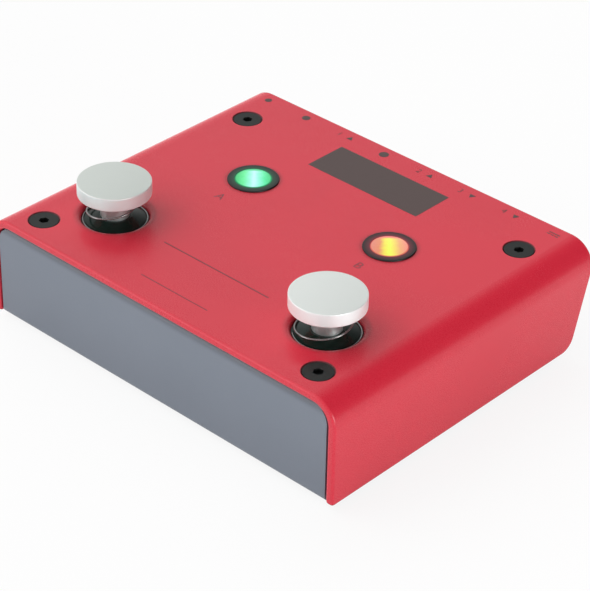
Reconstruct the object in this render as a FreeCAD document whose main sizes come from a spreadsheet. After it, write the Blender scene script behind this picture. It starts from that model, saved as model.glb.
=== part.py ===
import FreeCAD
import Part

import math
import os

import Sketcher
from FreeCAD import Placement, Rotation, Vector

# A two-channel foot switch box, as it comes apart on a bench.
# A folded cover with two walls is screwed to a folded tray, which carries the board, the sockets and
# the push-buttons. Two sprung foot switches pass through the cover, beside two lamps.
# +X is to the right seen from the front, +Y is to the rear and +Z is up. The origin is on the floor,
# under the middle of the cover.

SIZES = (
    # The cover: one folded sheet that makes the top and both walls
    ("cover_width", 126.0),
    ("cover_depth", 102.7),
    ("cover_height", 30.75),
    ("cover_sheet", 2.4),
    ("cover_bend", 7.5),
    ("wall_lean", 6.7),
    ("wall_rear_corner", 5.0),
    ("wall_front_corner", 1.0),
    ("paint_round", 0.8),
    ("hole_round", 1.5),
    # The tray: the second folded sheet, with the front and rear panels and their flanges
    ("tray_sheet", 1.5),
    ("tray_bend", 1.8),
    ("tray_drop", 0.25),
    ("tray_side_gap", 0.6),
    ("tray_corner", 5.1),
    ("front_lip", 0.5),
    ("rear_hood", 8.5),
    ("flange_depth", 11.5),
    # The feet
    ("foot_height", 1.5),
    ("foot_radius", 6.0),
    ("foot_round", 0.8),
    ("foot_inset", 11.0),
    ("foot_rear_inset", 9.0),
    # The cover's screws and the nuts pressed into the flanges
    ("screw_side_inset", 13.0),
    ("screw_front_inset", 8.05),
    ("screw_pitch", 78.3),
    ("screw_head", 4.0),
    ("screw_land", 0.2),
    ("screw_sink", 0.15),
    ("screw_shank", 1.95),
    ("screw_past_nut", 0.8),
    ("screw_socket", 1.44),
    ("screw_socket_depth", 1.2),
    ("countersink", 4.4),
    ("press_nut", 3.5),
    ("press_nut_height", 3.0),
    ("press_nut_collar", 2.7),
    ("press_nut_seat", 1.0),
    ("press_nut_bore", 2.05),
    ("press_gap", 0.05),
    # The foot switches
    ("switch_side_inset", 24.25),
    ("switch_front_inset", 23.6),
    ("switch_travel", 4.0),
    ("cap_radius", 10.1),
    ("cap_gap", 6.6),
    ("cap_edge", 3.8),
    ("cap_dome", 0.45),
    ("cap_round", 0.25),
    ("shaft_radius", 4.0),
    ("shaft_chamfer", 0.4),
    ("shaft_end", 1.85),
    ("stub_radius", 2.5),
    ("stub_length", 1.8),
    ("stub_gap", 0.03),
    ("running_gap", 0.06),
    ("guide_hole", 9.25),
    ("guide_hole_gap", 0.1),
    ("guide_ledge", 1.6),
    ("guide_ledge_width", 0.85),
    ("guide_dish_drop", 1.1),
    ("guide_crown", 4.6),
    ("guide_flange_reach", 0.3),
    ("guide_flange_sheet", 1.5),
    ("guide_tube", 6.0),
    ("ear_reach", 3.6),
    ("ear_radius", 4.0),
    ("stud_radius", 1.5),
    ("stud_length", 5.0),
    ("stud_nut", 3.18),
    ("stud_nut_height", 2.4),
    ("groove_depth", 1.0),
    ("clip_sheet", 0.8),
    ("clip_radius", 6.0),
    ("clip_gap", 0.05),
    ("clip_mouth", 5.0),
    # The conical return springs
    ("spring_wire", 0.25),
    ("spring_foot_room", 0.1),
    ("spring_shaft_room", 0.7),
    ("spring_end_turn", 0.84),
    ("spring_climb_turns", 1.1),
    ("spring_seat_gap", 0.1),
    ("spring_cap_gap", 0.15),
    ("spring_start_a", 109.0),
    ("spring_start_b", 170.0),
    # The momentary switches on the board
    ("module_side", 8.0),
    ("module_height", 7.0),
    ("module_floor", 0.8),
    ("module_pin_pitch", 5.0),
    ("plunger_radius", 1.75),
    ("plunger_hold", 2.0),
    ("plunger_gap", 0.3),
    ("plunger_touch", 0.05),
    # The lamps
    ("lamp_side_inset", 38.0),
    ("lamp_front_inset", 62.9),
    ("bezel_radius", 7.25),
    ("bezel_rise", 0.4),
    ("bezel_round", 0.25),
    ("bezel_lip", 0.2),
    ("bezel_barrel", 5.9),
    ("lamp_room", 0.3),
    ("lamp_hole", 6.0),
    ("lens_radius", 5.0),
    ("lens_gap", 0.1),
    ("lens_rim", 0.35),
    ("lens_dome", 0.4),
    ("lens_flange", 5.75),
    ("lens_flange_height", 1.0),
    ("lead_side", 0.5),
    ("lead_pitch", 2.54),
    ("lead_tail", 1.0),
    ("lamp_nut", 8.0),
    ("lamp_nut_height", 1.4),
    # The board and what is soldered to it
    ("board_lift", 4.4),
    ("board_sheet", 1.6),
    ("board_side_gap", 3.6),
    ("board_front_gap", 6.0),
    ("board_rear_gap", 0.9),
    ("spacer_side_inset", 10.0),
    ("spacer_front_y", 29.35),
    ("spacer_rear_y", 63.35),
    ("spacer_radius", 2.75),
    ("spacer_shank", 2.0),
    ("spacer_bore", 1.6),
    ("board_screw_head", 2.7),
    ("board_screw_head_height", 1.9),
    ("board_screw_shank", 1.5),
    ("board_screw_reach", 4.6),
    ("pin_radius", 0.4),
    ("pin_hole", 0.5),
    ("pin_reach", 3.0),
    ("relay_width", 9.0),
    ("relay_depth", 14.0),
    ("relay_height", 5.2),
    ("relay_x", 13.0),
    ("relay_y", 37.35),
    ("relay_pin_pitch", 3.2),
    ("transformer_width", 16.0),
    ("transformer_depth", 14.0),
    ("transformer_height", 13.0),
    ("transformer_y", 55.35),
    ("transformer_pin_pitch", 5.08),
    ("chip_width", 10.3),
    ("chip_depth", 7.5),
    ("chip_height", 2.4),
    ("chip_y", 21.35),
    ("can_radius", 4.0),
    ("can_height", 11.5),
    ("can_round", 0.6),
    ("can_side_inset", 17.0),
    ("can_y", 51.35),
    ("can_pin_pitch", 3.5),
    # The row of sockets and buttons in the rear panel
    ("row_pitch", 15.0),
    ("jack_width", 14.0),
    ("jack_depth", 27.0),
    ("jack_height", 15.0),
    ("jack_wall", 1.5),
    ("jack_channel", 3.6),
    ("jack_bore", 3.25),
    ("jack_bore_chamfer", 0.4),
    ("bushing_radius", 6.0),
    ("bushing_inside", 5.0),
    ("bushing_outside", 4.0),
    ("bushing_gap", 0.1),
    ("jack_washer", 7.2),
    ("jack_washer_sheet", 0.5),
    ("jack_nut", 8.05),
    ("jack_nut_height", 2.5),
    ("jack_pin_pitch", 6.0),
    ("jack_tip_pin", 3.0),
    ("jack_side_pin", 12.0),
    ("leaf_width", 3.0),
    ("leaf_sheet", 0.4),
    ("leaf_high", 6.0),
    ("leaf_low", 3.8),
    ("leaf_crown", 7.0),
    ("leaf_span", 12.0),
    ("leaf_foot", 3.0),
    ("leaf_slot_gap", 0.4),
    ("dc_width", 9.0),
    ("dc_depth", 13.0),
    ("dc_height", 11.0),
    ("dc_axis", 6.5),
    ("dc_nose", 4.0),
    ("dc_nose_hole", 4.2),
    ("dc_bore", 3.2),
    ("dc_bore_depth", 10.0),
    ("dc_pin", 1.05),
    ("dc_pin_inset", 1.0),
    ("dc_pin_seat", 2.0),
    ("dc_pin_pitch", 4.5),
    ("dc_pin_round", 0.35),
    ("dc_back_pin", 3.0),
    ("dc_side_pin", 8.0),
    ("button_radius", 3.5),
    ("button_hole", 3.8),
    ("button_proud", 4.0),
    ("button_travel", 2.5),
    ("button_round", 0.5),
    ("button_stem", 1.6),
    ("button_stem_length", 6.5),
    ("button_stop", 0.1),
    ("button_back", 3.25),
    ("button_switch_side", 8.0),
    ("button_switch_depth", 11.0),
    ("button_switch_pitch", 2.5),
)

doc = FreeCAD.newDocument("foot_switch_box")
sheet = doc.addObject("Spreadsheet::Sheet", "Sizes")
for row, (alias, number) in enumerate(SIZES, 1):
    sheet.set(f"A{row}", alias)
    sheet.set(f"B{row}", str(number))
    sheet.setAlias(f"B{row}", alias)
doc.recompute()


class Size:
    """A length in millimetres: its value now, and the expression on the sheet that gives it."""

    def __init__(self, value, text):
        self.value = value
        self.text = text

    def __add__(self, other):
        other = as_size(other)
        return Size(self.value + other.value, f"({self.text} + {other.text})")

    def __sub__(self, other):
        other = as_size(other)
        return Size(self.value - other.value, f"({self.text} - {other.text})")

    def __mul__(self, other):
        other = as_size(other)
        return Size(self.value * other.value, f"({self.text} * {other.text})")

    def __truediv__(self, other):
        other = as_size(other)
        return Size(self.value / other.value, f"({self.text} / {other.text})")

    def __neg__(self):
        return Size(-self.value, f"(-1 * {self.text})")


def as_size(number):
    """A plain number as a Size."""
    return number if isinstance(number, Size) else Size(float(number), f"({number})")


def cell(alias):
    """The Size that a cell of the sheet holds."""
    return Size(float(sheet.get(alias)), f"Sizes.{alias}")


# Places that several pieces share
HALF_WIDTH = cell("cover_width") / 2
FRONT = -cell("cover_depth") / 2
REAR = cell("cover_depth") / 2
TRAY_UNDER = cell("foot_height")
WALL_FOOT = TRAY_UNDER + cell("tray_drop")
COVER_TOP = WALL_FOOT + cell("cover_height")
UNDER_COVER = COVER_TOP - cell("cover_sheet")
INNER_WALL = HALF_WIDTH - cell("cover_sheet")
TRAY_HALF = INNER_WALL - cell("tray_side_gap")
TRAY_FRONT = FRONT + cell("front_lip")
TRAY_REAR = REAR - cell("rear_hood")
PANEL_INSIDE = TRAY_REAR - cell("tray_sheet")
TRAY_FLOOR = TRAY_UNDER + cell("tray_sheet")
FLANGE_UNDER = UNDER_COVER - cell("tray_sheet")
BOARD_UNDER = TRAY_FLOOR + cell("board_lift")
BOARD_TOP = BOARD_UNDER + cell("board_sheet")
PRESS_NUT_FOOT = FLANGE_UNDER - cell("press_nut_height")
SCREW_REACH = COVER_TOP - cell("screw_sink") - PRESS_NUT_FOOT + cell("screw_past_nut")
SCREW_X = HALF_WIDTH - cell("screw_side_inset")
SCREW_FRONT = FRONT + cell("screw_front_inset")
SCREW_REAR = SCREW_FRONT + cell("screw_pitch")
SWITCH_X = HALF_WIDTH - cell("switch_side_inset")
SWITCH_Y = FRONT + cell("switch_front_inset")
LAMP_X = HALF_WIDTH - cell("lamp_side_inset")
LAMP_Y = FRONT + cell("lamp_front_inset")
CAP_UNDER = COVER_TOP + cell("cap_gap")
MODULE_TOP = BOARD_TOP + cell("module_height")
SHAFT_FOOT = MODULE_TOP + cell("switch_travel") + cell("plunger_gap")
CLIP_UNDER = SHAFT_FOOT + cell("shaft_end")
GUIDE_FOOT = CLIP_UNDER + cell("clip_sheet") + cell("clip_gap")
GUIDE_RADIUS = cell("guide_hole") - cell("guide_hole_gap")
EAR_OFFSET = cell("guide_hole") + cell("ear_reach")
SPRING_FOOT_RADIUS = GUIDE_RADIUS - cell("spring_foot_room") - cell("spring_wire")
SPRING_TOP_RADIUS = cell("shaft_radius") + cell("spring_shaft_room") + cell("spring_wire")
SPACER_X = HALF_WIDTH - cell("spacer_side_inset")
JACK_TOP = BOARD_TOP + cell("jack_height")
JACK_AXIS = BOARD_TOP + cell("jack_height") / 2
BEZEL_LENGTH = COVER_TOP - JACK_TOP - cell("lamp_room") - cell("lens_flange_height")
DC_AXIS = BOARD_TOP + cell("dc_axis")
BUTTON_AXIS = BOARD_TOP + cell("button_switch_side") / 2
NUT_FACE = TRAY_REAR + cell("jack_washer_sheet")

SIDES = (("a", -1), ("b", 1))
CORNERS = ((-1, SCREW_FRONT), (1, SCREW_FRONT), (1, SCREW_REAR), (-1, SCREW_REAR))
SPACER_ROWS = (FRONT + cell("spacer_front_y"), FRONT + cell("spacer_rear_y"))
SPACERS = tuple((side, y) for side in (-1, 1) for y in SPACER_ROWS)
# The rear row has eight places, counted from the left: three buttons, four sockets and the power socket
ROW_MIDDLE = 3.5
BUTTON_PLACES = (0, 1, 3)
JACK_PLACES = (2, 4, 5, 6)
DC_PLACE = 7
# How far a cutting shape reaches past what it cuts
BEYOND = 2.0
# How finely a spring's line is drawn, measured and tested
ARCS_PER_TURN = 4
POINTS_PER_TURN = 72
SMALL_TURN = 0.01
ALONG_Y = Rotation(Vector(1, 0, 0), -90)

nodes = []
board_holes = []


def row_x(place):
    """How far right of the middle a place of the rear row is."""
    return cell("row_pitch") * (place - ROW_MIDDLE)


def bind(thing, name, size):
    """Ties a property to the sheet."""
    thing.setExpression(name, as_size(size).text)


def place(thing, x, y, z, turn=None):
    """Sets where a piece's own origin lies, and how it is turned."""
    if turn is not None:
        thing.Placement = Placement(Vector(), turn)
    for axis, size in zip("xyz", (x, y, z)):
        bind(thing, f"Placement.Base.{axis}", size)


def keep(thing, label):
    """Names a finished piece and puts it on the list of nodes."""
    thing.Label = label
    if thing.Label != label:
        raise ValueError(f"another object is already called {label}")
    nodes.append(thing)
    return thing


# Sketches and the features made from them


def new_sketch(body, role, up=0):
    """An empty sketch on one of the body's own origin planes, raised off it."""
    plane = next(item for item in body.Origin.OriginFeatures if item.Role == role)
    sketch = body.newObject("Sketcher::SketchObject", f"{body.Name}_sketch")
    sketch.AttachmentSupport = [(plane, "")]
    sketch.MapMode = "FlatFace"
    bind(sketch, "AttachmentOffset.Base.z", up)
    return sketch


def hold(sketch, index, end, x, y):
    """Holds one point of a sketch by its two distances from the sketch's origin."""
    for kind, axis, size in (("DistanceX", -2, x), ("DistanceY", -1, y)):
        if isinstance(size, int) and size == 0:
            sketch.addConstraint(Sketcher.Constraint("PointOnObject", index, end, axis))
        else:
            size = as_size(size)
            number = sketch.addConstraint(Sketcher.Constraint(kind, -1, 1, index, end, size.value))
            bind(sketch, f"Constraints[{number}]", size)


def hold_radius(sketch, index, size):
    """Ties the radius of a circle or an arc to the sheet."""
    number = sketch.addConstraint(Sketcher.Constraint("Radius", index, size.value))
    bind(sketch, f"Constraints[{number}]", size)


def outline(sketch, corners):
    """Draws a closed outline. A corner is (x, y), or (x, y, centre x, centre y, radius) where an arc of
    under a half circle leads from it to the next corner."""
    spots = [Vector(as_size(c[0]).value, as_size(c[1]).value, 0) for c in corners]
    runs = []
    for here, corner in enumerate(corners):
        start, stop = spots[here], spots[(here + 1) % len(spots)]
        if len(corner) == 2:
            runs.append((sketch.addGeometry(Part.LineSegment(start, stop)), 1, 2))
            continue
        middle = Vector(as_size(corner[2]).value, as_size(corner[3]).value, 0)
        leave, arrive = start - middle, stop - middle
        turns_left = leave.cross(arrive).z > 0
        if not turns_left:
            leave, arrive = arrive, leave
        ring = Part.Circle(middle, Vector(0, 0, 1), as_size(corner[4]).value)
        arc = Part.ArcOfCircle(ring, math.atan2(leave.y, leave.x), math.atan2(arrive.y, arrive.x))
        index = sketch.addGeometry(arc)
        runs.append((index, 1, 2) if turns_left else (index, 2, 1))
    for here, (index, first, last) in enumerate(runs):
        following = runs[(here + 1) % len(runs)]
        sketch.addConstraint(Sketcher.Constraint("Coincident", index, last, following[0], following[1]))
        hold(sketch, index, first, corners[here][0], corners[here][1])
        if len(corners[here]) == 5:
            hold_radius(sketch, index, as_size(corners[here][4]))


def circle(sketch, x, y, radius):
    """Draws a circle."""
    at = Vector(as_size(x).value, as_size(y).value, 0)
    index = sketch.addGeometry(Part.Circle(at, Vector(0, 0, 1), radius.value))
    hold(sketch, index, 3, x, y)
    hold_radius(sketch, index, radius)


def extrude(body, kind, sketch, length, side="One side", backwards=False, taper=0):
    """Pads or pockets a sketch."""
    feature = body.newObject(f"PartDesign::{kind}", f"{body.Name}_{kind.lower()}")
    feature.Profile = sketch
    feature.SideType = side
    feature.Reversed = backwards
    feature.TaperAngle = taper
    bind(feature, "Length", length)
    return feature


def soften(body, size, wanted):
    """Rounds the edges of a body for which wanted(edge) is true."""
    doc.recompute()
    names = [f"Edge{n}" for n, edge in enumerate(body.Tip.Shape.Edges, 1) if wanted(edge)]
    if not names:
        raise ValueError(f"no edge to round after {body.Tip.Name}, which is {body.Tip.State}")
    base = body.Tip
    feature = body.newObject("PartDesign::Fillet", f"{body.Name}_round")
    feature.Base = (base, names)
    bind(feature, "Radius", size)


def near(number, size):
    """Whether a measured number is the size, to a ten-thousandth of a millimetre."""
    return abs(number - as_size(size).value) < 1e-4


def edges_at(**places):
    """A test for edges that lie wholly at the given x, y or z. An x counts on both sides."""

    def wanted(edge):
        box = edge.BoundBox
        spans = {"x": (box.XMin, box.XMax), "y": (box.YMin, box.YMax), "z": (box.ZMin, box.ZMax)}
        for axis, size in places.items():
            low, high = spans[axis]
            middle = abs(low) if axis == "x" else low
            if not near(high, low) or not near(middle, size):
                return False
        return True

    return wanted


def new_body(label):
    """An empty body."""
    body = doc.addObject("PartDesign::Body", label)
    body.Label = label
    return body


def turned(label, profile, x, y, z, along=None):
    """A turned piece: its profile is given as (radius, height) from the piece's own origin."""
    body = new_body(label)
    sketch = new_sketch(body, "XZ_Plane")
    outline(sketch, profile)
    feature = body.newObject("PartDesign::Revolution", f"{label}_turn")
    feature.Profile = sketch
    feature.ReferenceAxis = (sketch, ["V_Axis"])
    feature.Angle = 360
    place(body, x, y, z, along)
    return body


# Plain solids and how they are joined


def box(name, x, y, z, width, depth, height):
    """A block whose lowest corner is at (x, y, z)."""
    block = doc.addObject("Part::Box", name)
    for side, size in zip(("Length", "Width", "Height"), (width, depth, height)):
        bind(block, side, size)
    place(block, x, y, z)
    return block


def block_on(name, x, y, z, width, depth, height):
    """A block that stands on z with its middle over (x, y)."""
    return box(name, x - width / 2, y - depth / 2, z, width, depth, height)


def cylinder(name, x, y, z, radius, height, turn=None):
    """A cylinder that starts at (x, y, z) and runs up, or along the turned way."""
    rod = doc.addObject("Part::Cylinder", name)
    bind(rod, "Radius", radius)
    bind(rod, "Height", height)
    place(rod, x, y, z, turn)
    return rod


def cut(name, base, *tools):
    """The base with the tools taken out of it."""
    result = base
    for tool in tools:
        step = doc.addObject("Part::Cut", name)
        step.Base = result
        step.Tool = tool
        result = step
    return result


def fuse(name, parts):
    """The parts as one solid."""
    result = doc.addObject("Part::MultiFuse", name)
    result.Shapes = parts
    return result


def group(name, parts):
    """Separate solids as one node."""
    result = doc.addObject("Part::Compound", name)
    result.Links = parts
    return result


def hexagon(name, x, y, z, radius, height, turn=None):
    """A six-sided bar, given by its radius at the corners."""
    bar = doc.addObject("Part::Prism", name)
    bar.Polygon = 6
    bind(bar, "Circumradius", radius)
    bind(bar, "Height", height)
    place(bar, x, y, z, turn)
    return bar


def soldered(label, part, pins):
    """Gives a part on the board its pins, and the board their holes."""
    radius, reach = cell("pin_radius"), cell("pin_reach")
    rods = [cylinder(f"{label}_pin", x, y, BOARD_TOP - reach, radius, reach) for x, y in pins]
    board_holes.extend(pins)
    return keep(fuse(label, [part, *rods]), label)


def four_pins(x, y, pitch):
    """The places of four pins in a square about (x, y)."""
    return [(x + pitch / 2 * right, y + pitch / 2 * back) for right in (-1, 1) for back in (-1, 1)]


# The casing


def make_cover():
    """The folded cover: section, bends, leaning rear edges, holes, countersinks and studs."""
    body = new_body("top_cover")
    section = new_sketch(body, "XZ_Plane")
    outline(
        section,
        (
            (-HALF_WIDTH, WALL_FOOT),
            (-HALF_WIDTH, COVER_TOP),
            (HALF_WIDTH, COVER_TOP),
            (HALF_WIDTH, WALL_FOOT),
            (INNER_WALL, WALL_FOOT),
            (INNER_WALL, UNDER_COVER),
            (-INNER_WALL, UNDER_COVER),
            (-INNER_WALL, WALL_FOOT),
        ),
    )
    extrude(body, "Pad", section, cell("cover_depth"), "Symmetric")
    soften(body, cell("cover_bend") - cell("cover_sheet"), edges_at(x=INNER_WALL, z=UNDER_COVER))
    soften(body, cell("cover_bend"), edges_at(x=HALF_WIDTH, z=COVER_TOP))

    bend_end = COVER_TOP - cell("cover_bend")
    lean = new_sketch(body, "YZ_Plane")
    outline(
        lean,
        (
            (REAR, bend_end),
            (REAR + BEYOND, bend_end),
            (REAR + BEYOND, WALL_FOOT),
            (REAR - cell("wall_lean"), WALL_FOOT),
        ),
    )
    extrude(body, "Pocket", lean, cell("cover_width") + BEYOND, "Symmetric")
    soften(body, cell("wall_rear_corner"), edges_at(y=REAR, z=bend_end))
    soften(body, cell("wall_rear_corner"), edges_at(y=REAR - cell("wall_lean"), z=WALL_FOOT))
    soften(body, cell("wall_front_corner"), edges_at(y=FRONT, z=WALL_FOOT))
    soften(body, cell("paint_round"), is_cover_rim)

    holes = new_sketch(body, "XY_Plane", UNDER_COVER)
    for _, side in SIDES:
        circle(holes, SWITCH_X * side, SWITCH_Y, cell("guide_hole"))
        circle(holes, LAMP_X * side, LAMP_Y, cell("lamp_hole"))
    extrude(body, "Pocket", holes, cell("cover_sheet") + BEYOND, backwards=True)
    soften(body, cell("hole_round"), is_round_hole_top)

    cones = new_sketch(body, "XY_Plane", COVER_TOP)
    for side, y in CORNERS:
        circle(cones, SCREW_X * side, y, cell("countersink"))
    extrude(body, "Pocket", cones, cell("cover_sheet"), taper=-45)

    studs = new_sketch(body, "XY_Plane", UNDER_COVER)
    for _, side in SIDES:
        for ear in (-1, 1):
            circle(studs, SWITCH_X * side + EAR_OFFSET * ear, SWITCH_Y, cell("stud_radius"))
    extrude(body, "Pad", studs, cell("stud_length"), backwards=True)
    return keep(body, "top_cover")


def is_cover_rim(edge):
    """Whether an edge runs round the outer or the inner face of the cover's sheet."""
    box = edge.BoundBox
    across = near(box.XLength, cell("cover_sheet")) and box.YLength < 1e-4 and box.ZLength < 1e-4
    upright = box.XLength < 1e-4 and box.YLength < 1e-4 and near(box.ZLength, cell("cover_sheet"))
    bend_ends = near(box.YLength, cell("cover_depth")) or (
        box.YLength > cell("cover_depth").value / 2 and box.ZMax > WALL_FOOT.value + 1
    )
    return not (across or upright or bend_ends)


def is_round_hole_top(edge):
    """Whether an edge is the upper rim of a switch hole."""
    box = edge.BoundBox
    on_top = near(box.ZMin, COVER_TOP) and near(box.ZMax, COVER_TOP)
    return on_top and near(box.XLength, cell("guide_hole") * 2)


def make_tray():
    """The folded tray: floor, two panels, two flanges, and every hole in them."""
    inner_front = TRAY_FRONT + cell("tray_sheet")
    body = new_body("chassis_tray")
    section = new_sketch(body, "YZ_Plane")
    outline(
        section,
        (
            (TRAY_FRONT + cell("flange_depth"), UNDER_COVER),
            (TRAY_FRONT, UNDER_COVER),
            (TRAY_FRONT, TRAY_UNDER),
            (TRAY_REAR, TRAY_UNDER),
            (TRAY_REAR, UNDER_COVER),
            (TRAY_REAR - cell("flange_depth"), UNDER_COVER),
            (TRAY_REAR - cell("flange_depth"), FLANGE_UNDER),
            (PANEL_INSIDE, FLANGE_UNDER),
            (PANEL_INSIDE, TRAY_FLOOR),
            (inner_front, TRAY_FLOOR),
            (inner_front, FLANGE_UNDER),
            (TRAY_FRONT + cell("flange_depth"), FLANGE_UNDER),
        ),
    )
    extrude(body, "Pad", section, TRAY_HALF * 2, "Symmetric")
    for y in (TRAY_FRONT, TRAY_REAR):
        for z in (TRAY_UNDER, UNDER_COVER):
            soften(body, cell("tray_bend"), edges_at(y=y, z=z))
    for y in (inner_front, PANEL_INSIDE):
        for z in (TRAY_FLOOR, FLANGE_UNDER):
            soften(body, cell("tray_bend") - cell("tray_sheet"), edges_at(y=y, z=z))

    corners = new_sketch(body, "XZ_Plane")
    arc = cell("tray_corner")
    for side in (-1, 1):
        inner, outer = (TRAY_HALF - arc) * side, TRAY_HALF * side
        outline(
            corners,
            (
                (inner, UNDER_COVER, inner, UNDER_COVER - arc, arc),
                (outer, UNDER_COVER - arc),
                ((TRAY_HALF + BEYOND) * side, UNDER_COVER - arc),
                ((TRAY_HALF + BEYOND) * side, UNDER_COVER + BEYOND),
                (inner, UNDER_COVER + BEYOND),
            ),
        )
    extrude(body, "Pocket", corners, cell("cover_depth"), "Symmetric")

    nut_holes = new_sketch(body, "XY_Plane", UNDER_COVER)
    for side, y in CORNERS:
        circle(nut_holes, SCREW_X * side, y, cell("press_nut_collar") + cell("press_gap"))
    extrude(body, "Pocket", nut_holes, cell("tray_sheet"))

    spacer_holes = new_sketch(body, "XY_Plane", TRAY_UNDER)
    for side, y in SPACERS:
        circle(spacer_holes, SPACER_X * side, y, cell("spacer_shank") + cell("press_gap"))
    extrude(body, "Pocket", spacer_holes, cell("tray_sheet"), backwards=True)

    row = new_sketch(body, "XZ_Plane", -PANEL_INSIDE)
    for number in JACK_PLACES:
        circle(row, row_x(number), JACK_AXIS, cell("bushing_radius") + cell("bushing_gap"))
    for number in BUTTON_PLACES:
        circle(row, row_x(number), BUTTON_AXIS, cell("button_hole"))
    circle(row, row_x(DC_PLACE), DC_AXIS, cell("dc_nose_hole"))
    extrude(body, "Pocket", row, cell("tray_sheet"))
    return keep(body, "chassis_tray")


def make_feet():
    """Four rubber feet, stuck under the tray."""
    arc = cell("foot_round")
    radius = cell("foot_radius")
    ends = (("front", FRONT + cell("foot_inset")), ("rear", TRAY_REAR - cell("foot_rear_inset")))
    for end, y in ends:
        for name, side in (("left", -1), ("right", 1)):
            profile = (
                (0, 0),
                (radius - arc, 0, radius - arc, arc, arc),
                (radius, arc),
                (radius, TRAY_UNDER),
                (0, TRAY_UNDER),
            )
            label = f"rubber_foot_{end}_{name}"
            keep(turned(label, profile, (HALF_WIDTH - cell("foot_inset")) * side, y, 0), label)


def make_cover_screws():
    """The four countersunk screws, each with its six-sided socket."""
    head, shank = cell("screw_head"), cell("screw_shank")
    land = -cell("screw_land")
    profile = (
        (0, 0),
        (head, 0),
        (head, land),
        (shank, land - (head - shank)),
        (shank, -SCREW_REACH),
        (0, -SCREW_REACH),
    )
    screws = []
    for side, y in CORNERS:
        at = (SCREW_X * side, y, COVER_TOP - cell("screw_sink"))
        blank = turned("cover_screw", profile, *at)
        socket = hexagon(
            "cover_screw_socket",
            at[0],
            at[1],
            at[2] - cell("screw_socket_depth"),
            cell("screw_socket"),
            cell("screw_socket_depth") + BEYOND,
        )
        screws.append(cut("cover_screw_cut", blank, socket))
    keep(group("cover_screws", screws), "cover_screws")


def make_press_nuts():
    """The four nuts pressed into the tray's flanges from below."""
    seat, height = cell("press_nut_seat"), cell("press_nut_height")
    profile = (
        (cell("press_nut_bore"), -height),
        (cell("press_nut"), -height),
        (cell("press_nut"), 0),
        (cell("press_nut_collar"), 0),
        (cell("press_nut_collar"), seat),
        (cell("press_nut_bore"), seat),
    )
    nuts = [turned("press_nut", profile, SCREW_X * side, y, FLANGE_UNDER) for side, y in CORNERS]
    keep(group("press_nuts", nuts), "press_nuts")


# The foot switches


def make_guide(name, side):
    """The collar that guides a shaft: dish, flange with two ears, tube and bore."""
    at = (SWITCH_X * side, SWITCH_Y, COVER_TOP)
    under = -cell("cover_sheet")
    flange = under - cell("guide_flange_sheet")
    foot = GUIDE_FOOT - COVER_TOP
    profile = (
        (0, foot),
        (cell("guide_tube"), foot),
        (cell("guide_tube"), flange),
        (cell("guide_hole") + cell("guide_flange_reach"), flange),
        (cell("guide_hole") + cell("guide_flange_reach"), under),
        (GUIDE_RADIUS, under),
        (GUIDE_RADIUS, -cell("guide_ledge")),
        (GUIDE_RADIUS - cell("guide_ledge_width"), -cell("guide_ledge")),
        (GUIDE_RADIUS - cell("guide_ledge_width"), -cell("guide_dish_drop")),
        (cell("guide_crown"), 0),
        (0, 0),
    )
    label = f"footswitch_guide_{name}"
    body = turned(label, profile, *at)
    offset, ear = EAR_OFFSET, cell("ear_radius")
    ears = new_sketch(body, "XY_Plane", flange)
    outline(
        ears,
        (
            (-offset, -ear),
            (offset, -ear, offset, 0, ear),
            (offset + ear, 0, offset, 0, ear),
            (offset, ear),
            (-offset, ear, -offset, 0, ear),
            (-offset - ear, 0, -offset, 0, ear),
        ),
    )
    extrude(body, "Pad", ears, cell("guide_flange_sheet"))
    holes = new_sketch(body, "XY_Plane", foot)
    circle(holes, 0, 0, cell("shaft_radius") + cell("running_gap"))
    for ear_side in (-1, 1):
        circle(holes, offset * ear_side, 0, cell("stud_radius") + cell("press_gap"))
    extrude(body, "Pocket", holes, -foot, backwards=True)
    keep(body, label)


def make_guide_nuts():
    """The four small nuts on the studs under the cover."""
    z = UNDER_COVER - cell("guide_flange_sheet") - cell("stud_nut_height")
    bore, height = cell("stud_radius") + cell("press_gap"), cell("stud_nut_height")
    nuts = []
    for _, side in SIDES:
        for ear in (-1, 1):
            x = SWITCH_X * side + EAR_OFFSET * ear
            bar = hexagon("guide_nut", x, SWITCH_Y, z, cell("stud_nut"), height)
            hole = cylinder("guide_nut_bore", x, SWITCH_Y, z, bore, height)
            nuts.append(cut("guide_nut_cut", bar, hole))
    keep(group("guide_nuts", nuts), "guide_nuts")


def make_shaft(name, side):
    """The shaft: end that presses the switch below, groove for the clip, and the stub in the cap."""
    radius, chamfer = cell("shaft_radius"), cell("shaft_chamfer")
    groove = radius - cell("groove_depth")
    low = CLIP_UNDER - SHAFT_FOOT - cell("clip_gap")
    high = low + cell("clip_sheet") + cell("clip_gap") * 2
    shoulder = CAP_UNDER - SHAFT_FOOT
    profile = (
        (0, 0),
        (radius - chamfer, 0),
        (radius, chamfer),
        (radius, low),
        (groove, low),
        (groove, high),
        (radius, high),
        (radius, shoulder),
        (cell("stub_radius"), shoulder),
        (cell("stub_radius"), shoulder + cell("stub_length")),
        (0, shoulder + cell("stub_length")),
    )
    label = f"footswitch_shaft_{name}"
    keep(turned(label, profile, SWITCH_X * side, SWITCH_Y, SHAFT_FOOT), label)


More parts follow.
